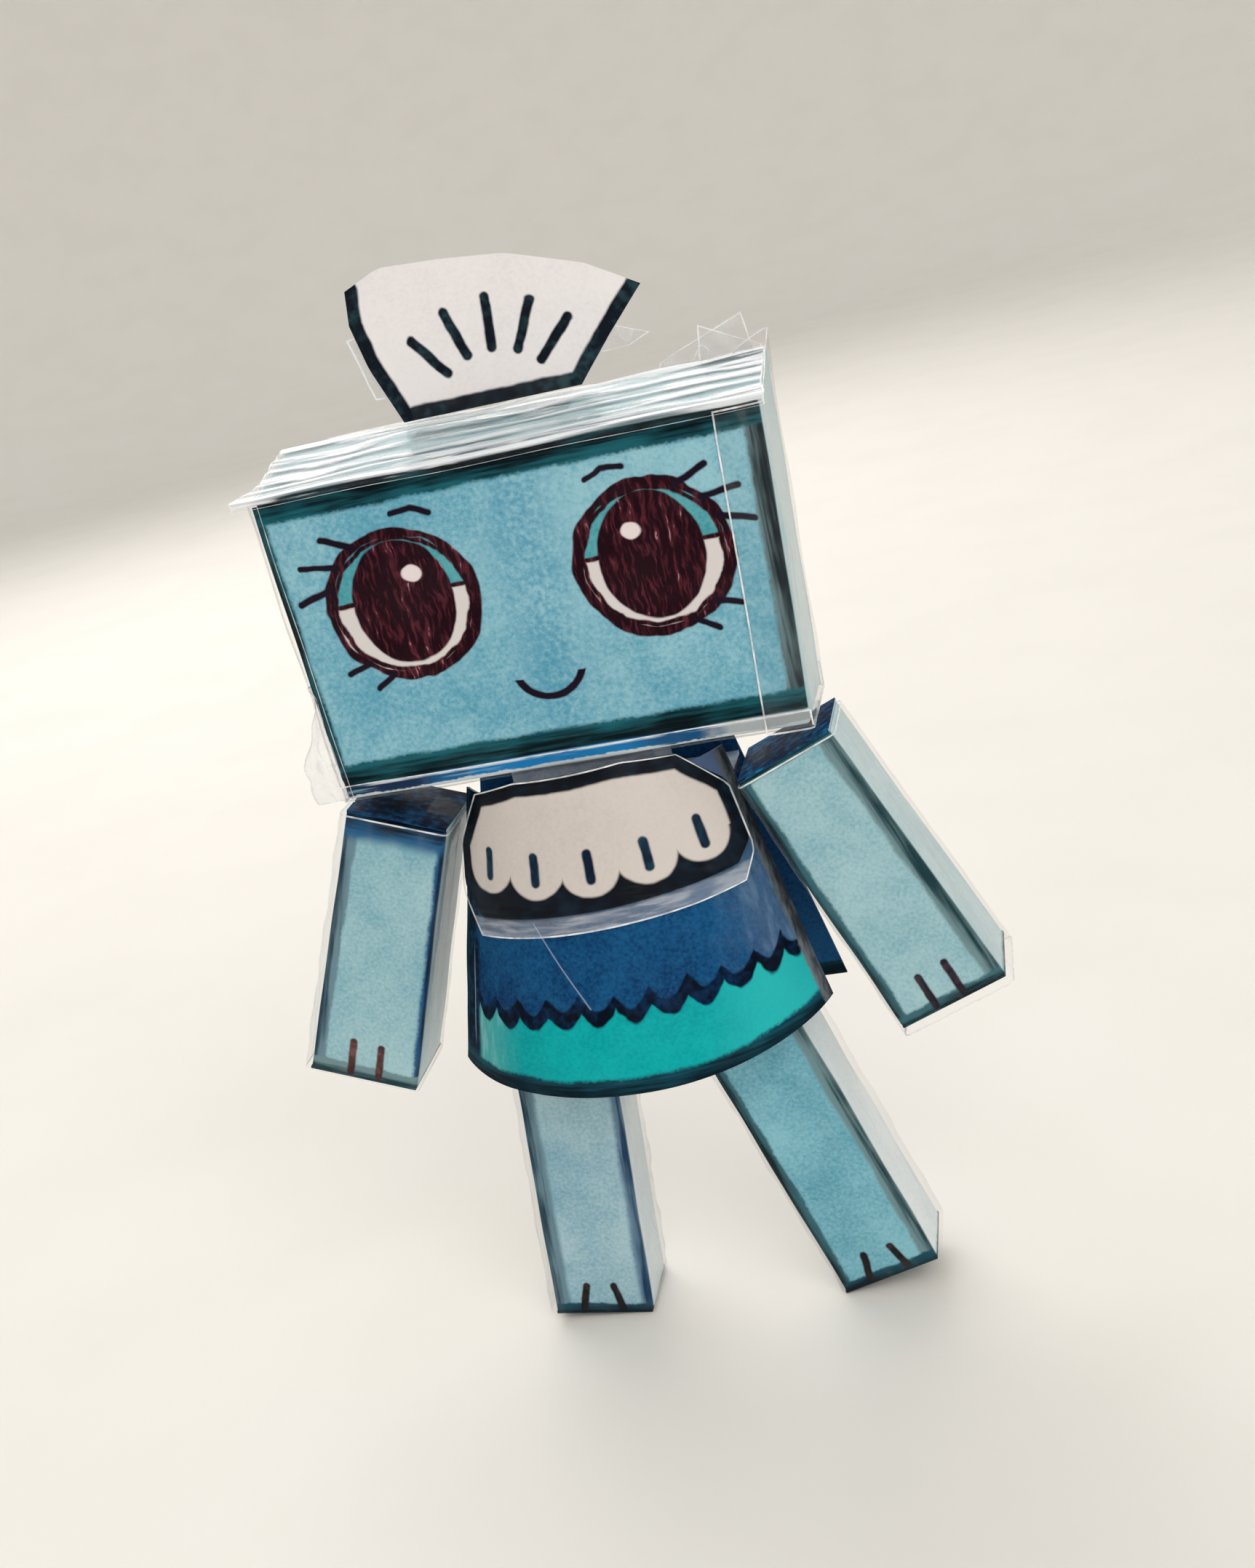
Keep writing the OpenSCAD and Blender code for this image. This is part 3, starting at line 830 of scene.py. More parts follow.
chin_path = over_edges(CHIN_FOLD, chin, -1)
chin_ends = half_width(head_low[2])
chin_grid = crumpled(bowed(along_head(chin_path, -chin_ends - 0.4, chin_ends + 0.4)), 4.0, 0.07)
flap_x, flap_z = np.meshgrid(np.linspace(0, 1, 16), np.linspace(0, 1, 30))
flap_width = 0.7 + FLAP_WIDTH * np.clip(1.5 * flap_z, 0, 1) ** 1.5 - 1.2 * np.clip(flap_z - 0.8, 0, 1)
flap_high = head_low[2] + FLAP_TOP - FLAP_LENGTH * flap_z - 0.6 * flap_x * flap_z
flap = np.stack([0.4 - half_width(flap_high) - flap_width * flap_x,
                 front_y - 0.1 + 1.4 * flap_x ** 2 + 0.3 * flap_z, flap_high], axis=-1)
chin_film = sheet("head_bottom_film", [chin_grid], TAPE, flat_film, tape_edge)
settle(chin_film, "head", "clear_tape", "head_bottom_tape")
flap_grid = crumpled(flap[:, ::-1], 3.0, 0.4, sharp=True)
flap_film = sheet("head_flap_film", [flap_grid], TAPE, loose_film, tape_edge)
settle(flap_film, "head", "clear_tape")

# %% [markdown]
# Tape round both ends
# A strip closes each end of the head. It laps onto the front and the back, and at the right it stands
# above the roof. Two loose ends of tape also stand up behind the roof, as thin see-through tabs. Each
# strip is one grid whose lower and upper edges change with the depth, and each tab is a four-cornered
# patch.

# %% Strips round both ends
END_FOLDS = {"left": 1.2, "right": 5.6}
END_RISE, END_BACK = 2.6, 5
TAB_ROOT = 0.4
TABS = (((22.6, 23.2), (29.8, 30.3), (4.3, 0.5), 0.2), ((17.4, 17.8), (29.2, 28.6), (0.8, 4.7), 0.6))


def end_strip(side, fold):
    """A grid round one end of the head: onto the front, across the end and onto the back."""
    inward = np.concatenate([np.linspace(fold, TURN, 10), np.zeros(20), np.linspace(TURN, END_BACK, 8)])
    across = np.linspace(front_y + TURN, rear_y - TURN, 20)
    depth = np.concatenate([np.full(10, front_y), across, np.full(8, rear_y)])
    share = np.linspace(0, 1, 40)[:, None]
    low = head_low[2] - 0.2 - 0.3 * (side > 0) * (depth < head_high[1])
    up = np.concatenate([np.zeros(10), np.linspace(0, 1, 20) ** 1.5, np.linspace(1, 0, 8) ** 0.7])
    high = roof(np.clip(depth, head_low[1], head_high[1])) - 0.2 + END_RISE * up * (side > 0)
    z = low + (high - low) * share
    x = half_width(z) + STAND + 0.12 * (1 + np.sin(z / 3.1)) * (inward == 0) - inward
    return np.stack([side * x, np.broadcast_to(depth, x.shape), z], axis=-1)


def standing_tab(left, right, heights, stand):
    """A loose end of tape behind the roof: X at foot and top of both sides, and the top's two heights."""
    u, v = np.meshgrid(np.linspace(0, 1, 20), np.linspace(0, 1, 14))
    x = np.interp(v, (0, 1), left) * (1 - u) + np.interp(v, (0, 1), right) * u
    z = roof_back - TAB_ROOT + (TAB_ROOT + np.interp(u, (0, 1), heights)) * v
    return np.stack([x, rear_y + stand + 0.4 * v ** 2, z], axis=-1)


for word, side in SIDES.items():
    strip = end_strip(side, END_FOLDS[word])
    grids = [crumpled(bowed(strip if side > 0 else strip[:, ::-1]), 5.0, 0.07, side)]
    film = sheet(f"head_{word}_film", grids, TAPE, flat_film if side < 0 else end_film, tape_edge)
    settle(film, "head", "clear_tape", f"head_{word}_tape")
tab_grids = [crumpled(standing_tab(*tab), 4.0, 0.3, tab[3], True) for tab in TABS]
tab_film = sheet("head_tab_film", tab_grids, TAPE, loose_film, tape_edge)
settle(tab_film, "head", "clear_tape")

# %% [markdown]
# Sheets cut with scissors
# The headpiece and the collar are cut from white paper with a few straight snips. A flat face with many
# corners would do for the outline, but it could neither curl nor lie round the dress. So four traced
# sides are filled with a grid, as a stretched net fills a frame.

# %% Fill an outline with a grid


def trace(corner_list, count):
    """Evenly spaced points along a run of straight snips."""
    run = np.array(corner_list)
    reach = np.append(0, np.cumsum(np.linalg.norm(np.diff(run, axis=0), axis=1)))
    at = np.linspace(0, reach[-1], count)
    return np.stack([np.interp(at, reach, run[:, axis]) for axis in (0, 1)], axis=1)


def filled(left, right, foot, crown):
    """A grid that fills the outline between four traced sides."""
    v = np.linspace(0, 1, len(left))[:, None, None]
    u = np.linspace(0, 1, len(foot))[None, :, None]
    ruled = (1 - u) * left[:, None] + u * right[:, None] + (1 - v) * foot[None] + v * crown[None]
    low = (1 - u) * (1 - v) * foot[0] + u * (1 - v) * foot[-1]
    return ruled - (low + (1 - u) * v * crown[0] + u * v * crown[-1])


print("an outline of four sides can be filled")

# %% [markdown]
# The paper fan
# The headpiece is a fan with a dark border and five pleat strokes, stood on the roof by a strip of
# tape. Its outline is a short list of corners in the plane of the fan, counted from the hinge. It could
# lie flat, but real paper curls, so the grid bends back towards its top corners and the ink follows.

# %% Cut and ink the fan
FAN_LEFT = ((-11.2, 0.7), (-14.1, 7.8), (-15.4, 13.2), (-15.0, 17.2))
FAN_CROWN = ((-15.0, 17.2), (-10.2, 19.0), (-2.5, 18.4), (5.5, 17.4), (14.5, 14.3), (20.6, 10.6))
FAN_RIGHT = ((11.3, 0.7), (16.0, 5.9), (20.6, 10.6))
FAN_FOOT = ((-11.2, 0.7), (11.3, 0.7))
FAN_BAND = 1.7
PLEATS, PLEAT_ENDS = (-40, -18, 4, 26, 47), ((8.5, 8.2, -1.0), (14.2, 13.6, -0.6))
FAN_CURL, FAN_CURL_X = 0.00012, 3.0
fan_axis = pivot("fan_fold")
fan_face = largest_face("paper_fan").normal
fan_lean = math.atan2(abs(fan_face.z), abs(fan_face.y))
fan_place = Matrix.Translation(Vector(fan_axis) * MM) @ Matrix.Rotation(-fan_lean, 4, "X")


def fan_finish():
    material, at = start("fan_paper_inked")
    hand = shaken(at, 2.5, 0.25)
    x, y, z = split(hand)
    flat = joined(x, 0.0, z)
    rims = [strokes(flat, run) for run in (FAN_LEFT, FAN_RIGHT, FAN_FOOT)]
    cover = inked(least(*rims), FAN_BAND, 0.2)
    pleats = []
    for lean in map(math.radians, PLEATS):
        ends = [(1 + wide * math.sin(lean), tall * math.cos(lean) + lift) for wide, tall, lift in PLEAT_ENDS]
        pleats.append(stroke(flat, *ends))
    curl = (x - FAN_CURL_X) * (x - FAN_CURL_X) * z * FAN_CURL
    marks = most(cover, inked(least(*pleats), 0.62, 0.16)) * (1 - smooth(y - curl, -0.02, 0.02))
    ground = wash(at, paint(234, 230, 231), paint(214, 210, 214), 0.5, 1.0)
    ink = felt_tip(at, paint(14, 22, 32), paint(40, 66, 74))
    taped_paper(at, mix(ground, ink, marks), 0.05)
    return material


fan_sides = [trace(run, 18) for run in (FAN_LEFT, FAN_RIGHT)]
fan_ends = [trace(run, 34) for run in (FAN_FOOT, FAN_CROWN)]
fan_flat = filled(*fan_sides, *fan_ends)
fan_curl = FAN_CURL * (fan_flat[..., 0] - FAN_CURL_X) ** 2 * fan_flat[..., 1]
fan_grid = np.stack([fan_flat[..., 0], fan_curl, fan_flat[..., 1]], axis=-1)
fan_paper = fan_finish()
paper_fan = sheet("paper_fan_cutout", [crumpled(fan_grid, 9, 0.08)], PAPER, fan_paper, place=fan_place)
settle(paper_fan, "headpiece", "white_paper", "paper_fan")
print("fan leans", round(math.degrees(fan_lean), 1), "degrees")

# %% [markdown]
# Tape behind the fan
# A strip of tape is stuck across the fan's back and shows past both of its sides. It could share the
# fan's outline, but it is torn off the roll, so it is a band between two runs of corners. It stays
# clear of the hinge, so that the fan can fold down without pushing it into the roof.

# %% A strip across the back of the fan
MARGIN_TOP = ((-16.4, 11.6), (-14.6, 11.9), (14.0, 7.6), (20.4, 5.0))
MARGIN_FOOT = ((-14.4, 4.0), (-11.5, 3.8), (12.5, 3.8), (17.8, 4.0))
MARGIN_GAP, MARGIN_SPLAY = 0.5, 0.02
margin_rise = np.linspace(0, 1, 18)[:, None, None]
margin_flat = (1 - margin_rise) * trace(MARGIN_FOOT, 50)[None] + margin_rise * trace(MARGIN_TOP, 50)[None]
margin_x, margin_z = margin_flat[..., 0], margin_flat[..., 1]
margin_y = MARGIN_GAP + MARGIN_SPLAY * np.abs(margin_x)
margin_grid = np.stack([margin_x, margin_y, margin_z], axis=-1)
margin_grid = crumpled(margin_grid, 3.5, 0.15, 1, sharp=True)
fan_margin = sheet("fan_back_film", [margin_grid], TAPE, loose_film, tape_edge, fan_place)
settle(fan_margin, "headpiece", "clear_tape")

# %% [markdown]
# The hidden boxes
# A neck box, a torso box and two plates carry the dress and the limbs. Only slivers of them show from
# below. Their solids are already the right shape, so they stay and only get a finish: plain paper,
# creased and dusty.

# %% Plain inner paper


def inner_finish():
    material, at = start("inner_paper_plain")
    ground = wash(at, paint(206, 214, 226), paint(168, 184, 208))
    taped_paper(at, mix(ground, paint(92, 116, 160), smooth(blotch(at, 6.0, 3.0), 0.5, 0.8) * 0.6), 0.1)
    return material


inner_paper = inner_finish()
for node in ("neck_box", "torso_box", "shoulder_plate", "hip_plate"):
    frame["nodes"][node].data.materials.clear()
    frame["nodes"][node].data.materials.append(inner_paper)
print("inner boxes share", inner_paper.name)

# %% [markdown]
# The cone of the dress
# The dress is one sheet bent round the body as part of a cone, with a flat sheet behind it. Its sizes
# could be written down again, but they are in the solid: the rim's width and depth give the turn, the
# radius and the centre. The hem rises to both sides, as a straight-cut sheet does on a cone.

# %% Measure and bend the dress
dress_low, dress_high = corners("dress_front")
dress_points = solid_points("dress_front")
rim_points = dress_points[dress_points[:, 2] > dress_high[2] - 0.01]
rim_x, rim_front = rim_points[:, 0].max(), rim_points[:, 1].min()
rim_y = rim_points[rim_points[:, 0] > rim_x - 0.01, 1].min()
dress_turn = 2 * math.atan2(rim_y - rim_front, rim_x)
rim_r = rim_x / math.sin(dress_turn)
dress_axis = rim_front + rim_r
hem_mid_z = dress_low[2]
hem_r = dress_axis - dress_low[1]
HEM_LEFT, HEM_RIGHT = 0.6, 2.6


def dress_r(z):
    """Radius of the dress at a height."""
    return hem_r + (rim_r - hem_r) * (z - hem_mid_z) / (dress_high[2] - hem_mid_z)


def on_dress(turn, z, lift):
    """Points on the dress at turns from the front and heights, lifted off it."""
    reach = dress_r(z) + lift
    return np.stack([reach * np.sin(turn), dress_axis - reach * np.cos(turn), z + 0 * turn], axis=-1)


turns = np.linspace(-dress_turn, dress_turn, 60)
hem_rise = np.where(turns < 0, HEM_LEFT, HEM_RIGHT) * (turns / dress_turn) ** 2
heights = hem_mid_z + hem_rise + (dress_high[2] - hem_mid_z - hem_rise) * np.linspace(1, 0, 34)[:, None]
dress_grid = on_dress(np.broadcast_to(turns, heights.shape), heights, -PAPER / 2)
print("dress turns", round(math.degrees(dress_turn), 1), "degrees each way, hem radius", round(hem_r, 2))

# %% [markdown]
# The ground of the dress
# The front has a dark blue top and a teal foot, with a scalloped felt-tip line between them. An
# unwrapped image would need UVs, but a cone has its own flat measure: the turn times the radius is a
# length. The scallops are a sine of that length, and streaks wear both colours towards the edges.

# %% Blue, teal and scallops
SCALLOP_Z, SCALLOP_RISE, SCALLOP_RUN = 50.6, 0.9, 4.6


def dress_ground(at, turn, arc, z):
    """Blue over teal, with navy scallops between them, by the turn, the length round and the height."""
    shake = (blotch(at, 3.0) - 0.5) * 0.9
    wave = abs(arc.math("SINE", (arc + shake) * (math.pi / SCALLOP_RUN)))
    level = z - SCALLOP_Z + wave * SCALLOP_RISE * 2 - 0.03 * arc + shake
    streak = smooth(streaked(at, (1.0, 1.0, 6.0), 1.2, 3.0), 0.45, 0.7)
    blue = wash(at, paint(22, 88, 136), paint(2, 42, 86))
    worn = smooth(turn + blotch(at, 3.0) * 0.4, 0.7, 1.2)
    blue = mix(blue, paint(104, 130, 158), worn * (0.35 + streak * 0.4))
    blue = mix(blue, paint(112, 128, 168), smooth(z, 66.0, 72.0) * smooth(turn, 0.2, 0.6) * 0.6)
    teal = wash(at, paint(10, 172, 174), paint(0, 146, 152))
    teal = mix(teal, paint(46, 184, 186), smooth(turn, 0.3, 0.8) * 0.7)
    teal = mix(teal, paint(132, 196, 198), (1 - smooth(turn, -0.85, -0.5)) * (0.3 + streak * 0.5))
    ground = mix(teal, blue, smooth(level, -0.2, 0.2))
    navy = felt_tip(at, paint(0, 8, 26), paint(6, 44, 82))
    weight = 0.8 + smooth(blotch(at, 4.0), 0.35, 0.7) * 0.5
    return mix(ground, navy, inked(abs(level - 0.6) - weight, 0.0, 0.25))


print("scallops repeat every", SCALLOP_RUN, "mm")

# %% [markdown]
# Folds and bands of the dress
# The sheet is creased near its left edge, with a dark strip along the crease and a pale line painted
# beside it as a highlight, and tape shows as a thin line on the blue. Felt-tip bands run along both side
# edges and the hem. They could be strips of their own, but ink on one sheet is only one more mix. The
# outer face alone is coloured, and a little colour soaks through to the bare inner face.

# %% Colours of the dress
HEM_BAND, SIDE_BAND, FOLD_BAND = 2.0, 2.0, 1.0
DRESS_CREASE = math.radians(-51)
TAPE_LINE = ((-9.0, 61.0), (-3.2, 50.6))
ROUND_HEM = (8.0, 8.0, 0.5)
hem_inks = paint(2, 24, 36), paint(18, 72, 88)
side_inks = paint(46, 50, 56), paint(108, 116, 122)


def outside_only(at, colour):
    """A colour on the outer face of a bent sheet, with a little of it soaked through to the bare face."""
    x, y, _ = split(at)
    way_x, way_y, _ = split(at.node("ShaderNodeNewGeometry", out="Normal"))
    bare = wash(at, paint(222, 224, 226), paint(202, 207, 212))
    bare = mix(bare, colour, smooth(blotch(at, 5.0, 3.0), 0.3, 0.8) * 0.3)
    return mix(bare, colour, smooth(x * way_x + (y - dress_axis) * way_y, -1.0, 1.0))


def dress_finish():
    material, at = start("dress_paper_drawn")
    x, y, z = split(at)
    turn = x.math("ARCTAN2", x, dress_axis - y)
    reach = vector("LENGTH", joined(x, dress_axis - y, 0.0), {}, out="Value")
    arc = turn * reach
    sweep = turn / dress_turn
    hem = z - hem_mid_z - sweep * sweep * (HEM_LEFT + (HEM_RIGHT - HEM_LEFT) * smooth(turn, -0.1, 0.1))
    colour = dress_ground(at, turn, arc, z)
    fold = 1 - smooth(turn - DRESS_CREASE + blotch(at, 4.0) * 0.05, 0.0, 0.05)
    colour = mix(colour, felt_tip(at, paint(5, 22, 44), paint(16, 74, 112)), fold)
    # A painted highlight: a pale line just beside the crease, as light catching the fold, fading out upward.
    crease = inked(abs(turn - DRESS_CREASE + 0.06) * reach, 0.12, 0.08) * smooth(z, 43.0, 46.0)
    colour = mix(colour, paint(168, 182, 198), crease * (1 - smooth(z, 53.0, 58.0)) * 0.8)
    tape_line = inked(stroke(joined(arc, 0.0, z), *TAPE_LINE), 0.09, 0.07)
    colour = mix(colour, paint(150, 168, 190), tape_line * 0.7)
    colour = edged(at, colour, (dress_turn + turn) * reach, FOLD_BAND, hem_inks, ALONG_Z)
    colour = edged(at, colour, hem, HEM_BAND, hem_inks, ROUND_HEM)
    colour = edged(at, colour, (dress_turn - turn) * reach, SIDE_BAND, side_inks, ALONG_Z)
    taped_paper(at, outside_only(at, colour))
    return material


dress_paper = dress_finish()
dress_front = sheet("dress_front_paper", [crumpled(dress_grid, 8, 0.25)], PAPER, dress_paper)
settle(dress_front, "torso", "dress_paper", "dress_front")

# %% [markdown]
# The back of the dress
# A flat sheet closes the dress behind, as wide as the cone is between its two edges. Nothing of it
# shows in front but a strip at the right, which is blue with a dark hem. The same wash and felt-tip
# band make its finish, so that front and back belong together.

# %% A flat sheet behind
flat_low, flat_high = corners("dress_back")


def dress_back_finish():
    material, at = start("dress_back_paper_plain")
    blue = wash(at, paint(34, 88, 136), paint(6, 46, 92))
    taped_paper(at, edged(at, blue, split(at)[2] - flat_low[2], HEM_BAND, hem_inks, ALONG_X))
    return material


flat_share, flat_z = np.meshgrid(np.linspace(1, -1, 24), np.linspace(flat_high[2], flat_low[2], 30))
flat_x = dress_r(flat_z) * math.sin(dress_turn) * flat_share
flat_y = np.full_like(flat_x, (flat_low[1] + flat_high[1]) / 2)
flat_grid = np.stack([flat_x, flat_y, flat_z], axis=-1)
dress_back = sheet("dress_back_paper", [crumpled(flat_grid, 10, 0.12)], PAPER, dress_back_finish())
settle(dress_back, "torso", "dress_paper", "dress_back")

# %% [markdown]
# The collar
# The collar is a white bib cut with a few snips and stuck over the dress. Its outline is a list of
# corners: a turn round the dress in degrees, and a height. A Shrinkwrap modifier could press a flat
# cut-out onto the dress, but laying each point on the cone keeps its size. White paper is left inside a
# thick dark surround, whose lower edge is a row of even scallops.

# %% Cut and ink the collar
collar_low, collar_high = corners("collar")
collar_mid = (collar_low[2] + collar_high[2]) / 2
COLLAR_LEFT = ((-42, -8.3), (-52, -4.6), (-53, 0.6), (-44, 6.8))
COLLAR_RIGHT = ((46, -6.7), (53, -4.4), (53, 3.0), (38, 8.0))
COLLAR_FOOT = ((-42, -8.3), (-18, -7.9), (10, -7.4), (30, -7.1), (46, -6.7))
COLLAR_TOP = ((-44, 6.8), (-24, 8.4), (18, 9.0), (38, 8.0))
COLLAR_LIFT, FLARE_OUT = 0.5, 1.2
SURROUND = 1.8
SCALLOPS, SCALLOP_SPAN = 5, math.radians(94)
collar_r = dress_r(collar_mid) + COLLAR_LIFT


def collar_grid(lift, drop):
    """The collar's outline filled and laid on the dress; drop lets its foot hang lower."""
    sides = [trace(run, 20) for run in (COLLAR_LEFT, COLLAR_RIGHT)]
    ends = [trace(run, 44) for run in (COLLAR_FOOT, COLLAR_TOP)]
    flat = filled(*sides, *ends)[::-1]
    turn = np.radians(flat[..., 0])
    z = collar_mid + flat[..., 1] - drop * np.linspace(0, 1, 20)[:, None] ** 2
    return on_dress(turn, z, lift + FLARE_OUT * (turn / dress_turn) ** 2)


def collar_finish():
    material, at = start("collar_paper_inked")
    x, y, z = split(shaken(at, 3.0, 0.22))
    arc = x.math("ARCTAN2", x, dress_axis - y) * collar_r
    flat = joined(arc, 0.0, z - collar_mid)
    snips = [[(math.radians(turn) * collar_r, height) for turn, height in run]
             for run in (COLLAR_LEFT, COLLAR_RIGHT, COLLAR_FOOT, COLLAR_TOP)]
    rim = least(*[strokes(flat, run) for run in snips])
    step = SCALLOP_SPAN * collar_r / SCALLOPS
    from_middle = np.arange(SCALLOPS) - (SCALLOPS - 1) / 2
    places = [(float(index * step), float(0.2 * index ** 2 - 2.4)) for index in from_middle]
    lobes = least(*[oval(flat, place, (step * 0.53, 3.4)) for place in places])
    bib = smooth(z - collar_mid, -2.1, -1.9) * smooth(rim, SURROUND - 0.2, SURROUND + 0.2)
    white = most(bib, inked(lobes, 0.0, 0.2))
    ticks = least(*[stroke(flat, (x_mid, z_mid + 1.6), (x_mid, z_mid - 1.4)) for x_mid, z_mid in places])
    paper = wash(at, paint(214, 206, 201), paint(196, 188, 184), 0.5, 1.0)
    navy = felt_tip(at, paint(0, 5, 16), paint(14, 34, 52))
    ink = felt_tip(at, paint(2, 20, 48), paint(16, 70, 88))
    drawn = mix(mix(navy, paper, white), ink, inked(ticks, 0.6, 0.16))
    taped_paper(at, outside_only(at, drawn))
    return material


collar_bent = crumpled(collar_grid(COLLAR_LIFT, 0), 7, 0.12)
collar_paper = sheet("collar_cutout", [collar_bent], PAPER, collar_finish())
settle(collar_paper, "torso", "white_paper", "collar")

# %% [markdown]
# Tape over the collar
# One sheet of clear tape holds the collar down. It is cut like the collar and hangs a little lower at
# the foot. The same grid serves again, a hair further out and with its foot drawn down. Where the tape
# lies on the dress, air under it looks milky and catches the light, so a mask adds milky streaks below
# the collar's foot, partly as painted reflection.

# %% A clear sheet with a milky foot
COLLAR_FOOT_Z, COLLAR_SLANT = -7.6, 0.04
FILM_LIFT = 0.35
collar_hem = collar_low[2] - corners("collar_tape")[0][2]


def below_collar(at):
    """The milky margin of tape below the collar's foot, partly painted reflection of the light."""
    x, _, z = split(at)
    foot = z - collar_mid - COLLAR_FOOT_Z - x * COLLAR_SLANT
    streaks = streaked(at, (5.0, 5.0, 0.7), 1.0, 3.0)
    # The streaks are milky air under the tape and, in part, a painted reflection.
    return (1 - smooth(foot, -0.3, 0.3)) * (0.08 + smooth(streaks, 0.4, 0.7) * 0.18)


milky_reflection_film = clear_film("collar_tape_milky", 0.005, (7.0, 7.0, 0.9), 0.985, below_collar)
collar_film_grid = crumpled(collar_grid(COLLAR_LIFT + FILM_LIFT, collar_hem), 5, 0.1)
collar_film = sheet("collar_film", [collar_film_grid], TAPE, milky_reflection_film, tape_edge)
settle(collar_film, "torso", "clear_tape", "collar_tape")

# %% [markdown]
# A limb's own frame
# Arms and legs hang from their hinges at a slant. Built in the doll's frame, each edge would need its
# own slope. So a limb is built straight down from its hinge and then swung out, and a band along an
# edge is a plain distance. The slant is read from the flat cap at the limb's end. Left limbs are the
# mirror of right ones.

# %% Hinge, slant and sizes of a limb


def swung(joint, cap, side):
    """A limb's own frame: its hinge, turned outward by the tilt of one of its flat caps."""
    way = largest_face(cap).normal
    tilt = math.atan2(abs(way.x), abs(way.z))
    return Matrix.Translation(Vector(pivot(joint)) * MM) @ Matrix.Rotation(-side * tilt, 4, "Y")


def in_frame(place, side, node):
    """Lowest and highest corner of a solid in a limb's frame, with X counted outward."""
    back = place.inverted()
    points = np.array([back @ vertex.co for vertex in frame["nodes"][node].data.vertices]) / MM
    points[:, 0] *= side
    return points.min(axis=0), points.max(axis=0)


print("limbs swing on", [name for name in JOINTS if name.endswith(("shoulder", "hip"))])

# %% [markdown]
# Sleeves and caps
# Each limb is a paper sleeve wound round with a lap at the back, shut by a cap at either end and
# wrapped in tape. A scaled cube would have closed walls, but the lap and the open ends are what shows
# that it is wound paper. One path goes round the limb with a small turn at each fold, and it is
# repeated down the limb as it widens.

# %% Wind a sleeve
LAP = 2.6
LIMB_FOLD = 0.55
ROWS = 26


def wound(inner, outer, front, rear, fold, lap, lift):
    """A strip's path round a limb in X and Y, from the middle of the back and past it again by the lap."""
    middle = (inner + outer) / 2
    corner_turns = ((outer - fold, rear - fold, 90), (outer - fold, front + fold, 0),
                    (inner + fold, front + fold, -90), (inner + fold, rear - fold, -180))
    path = [np.array([[middle, rear]])]
    for x, y, turn in corner_turns:
        angle = np.radians(np.linspace(turn, turn - 90, 5))
        bend = np.stack([x + fold * np.cos(angle), y + fold * np.sin(angle)], axis=1)
        straight = path[-1][-1] + (bend[0] - path[-1][-1]) * np.linspace(0, 1, 7)[1:-1, None]
        path += [straight, bend]
    last = np.stack([np.linspace(inner + fold, middle + lap, 12)[1:], np.full(11, rear)], axis=1)
    last[:, 1] += lift * np.clip(last[:, 0] - middle + 1, 0, 1)
    return np.concatenate(path + [last])


def sleeve_grid(low, high, inner, outer, depth, side, lap, lift, fold):
    """A sleeve between two heights, with inner and outer edges that may change with the height."""
    rows = []
    for z in np.linspace(high, low, ROWS):
        path = wound(inner(z), outer(z), depth[0], depth[1], fold, lap, lift)
        rows.append(np.column_stack([path * (side, 1), np.full(len(path), z)]))
    grid = np.array(rows)
    return grid if side > 0 else grid[:, ::-1]


def cap_grid(z, inner, outer, depth, side, bow):
    """A flat cap that bulges by bow, as thin paper does."""
    u, v = np.meshgrid(np.linspace(-1, 1, 12), np.linspace(-1, 1, 12))
    x = (inner + outer) / 2 + u * (outer - inner) / 2
    y = (depth[0] + depth[1]) / 2 + v * (depth[1] - depth[0]) / 2
    return np.stack([side * x, y, z + bow * (1 - u ** 2) * (1 - v ** 2)], axis=-1)[:, ::side]


print("a sleeve has", len(wound(0, 13, -6, 6, LIMB_FOLD, LAP, PAPER)), "points round it")

# %% [markdown]
# The colours of a limb
# A limb has a washed front, felt-tip bands on its four front edges, pale sides and a dark lid on top.
# Each could be a sheet with its own material, but one finish that asks for its place colours sleeve and
# caps alike. The place is shifted for each side, so that left and right limbs don't have the same pools
# and streaks.

# %% Paper of a limb
teal_line = (paint(10, 52, 60), paint(112, 142, 148))
SOLE_LINE, LIMB_FADE = 0.7, 0.42


def limb_finish(name, side, sizes, digits, look):
    """Paper of one limb: a washed front, felt-tip bands on its edges, pale sides and strokes for digits."""
    material, at = start(name)
    at_x, y, z = split(at)
    x = at_x * side
    inner, outer_top, outer_low, front, top, low = sizes
    outer = outer_top + (outer_low - outer_top) * (top - z) / (top - low)
    own = vector("ADD", at, {1: (31.0 * side, 7.0, 0.0)})
    drawn = wash(own, *look["wash"])
    edges = ((x - inner, ALONG_Z), (outer - x, ALONG_Z), (top - z, ALONG_X), (z - low, ALONG_X))
    for (distance, run), (width, inks, soft) in zip(edges, look["bands"]):
        drawn = edged(own, drawn, distance, width, inks, run, soft, LIMB_FADE)
    hand = shaken(joined(x, 0.0, z), 1.8, 0.2)
    digit = least(*[stroke(hand, *line) for line in digits])
    drawn = mix(drawn, felt_tip(own, *look["ink"]), inked(digit, 0.5))
    pale = edged(own, wash(own, *look["sides"]), z - low, SOLE_LINE, teal_line, ALONG_X)
    colour = mix(pale, drawn, front_of(y, front))
    lid = felt_tip(own, *look["lid"])
    taped_paper(at, mix(colour, lid, smooth(z - top, -0.3, -0.2)))
    return material


print("a limb's sides end in a line of", SOLE_LINE, "mm")

# %% [markdown]
# Putting a limb together
# A limb is four pieces: the sleeve, the cap at its hinge, the cap at its end, and a wrap of clear tape.
# They could be modelled four times over, but arms and legs are folded alike, so one function makes any
# of them. Its sizes come from the solids, and the tape stands off the paper in slow ripples, like loose
# film.

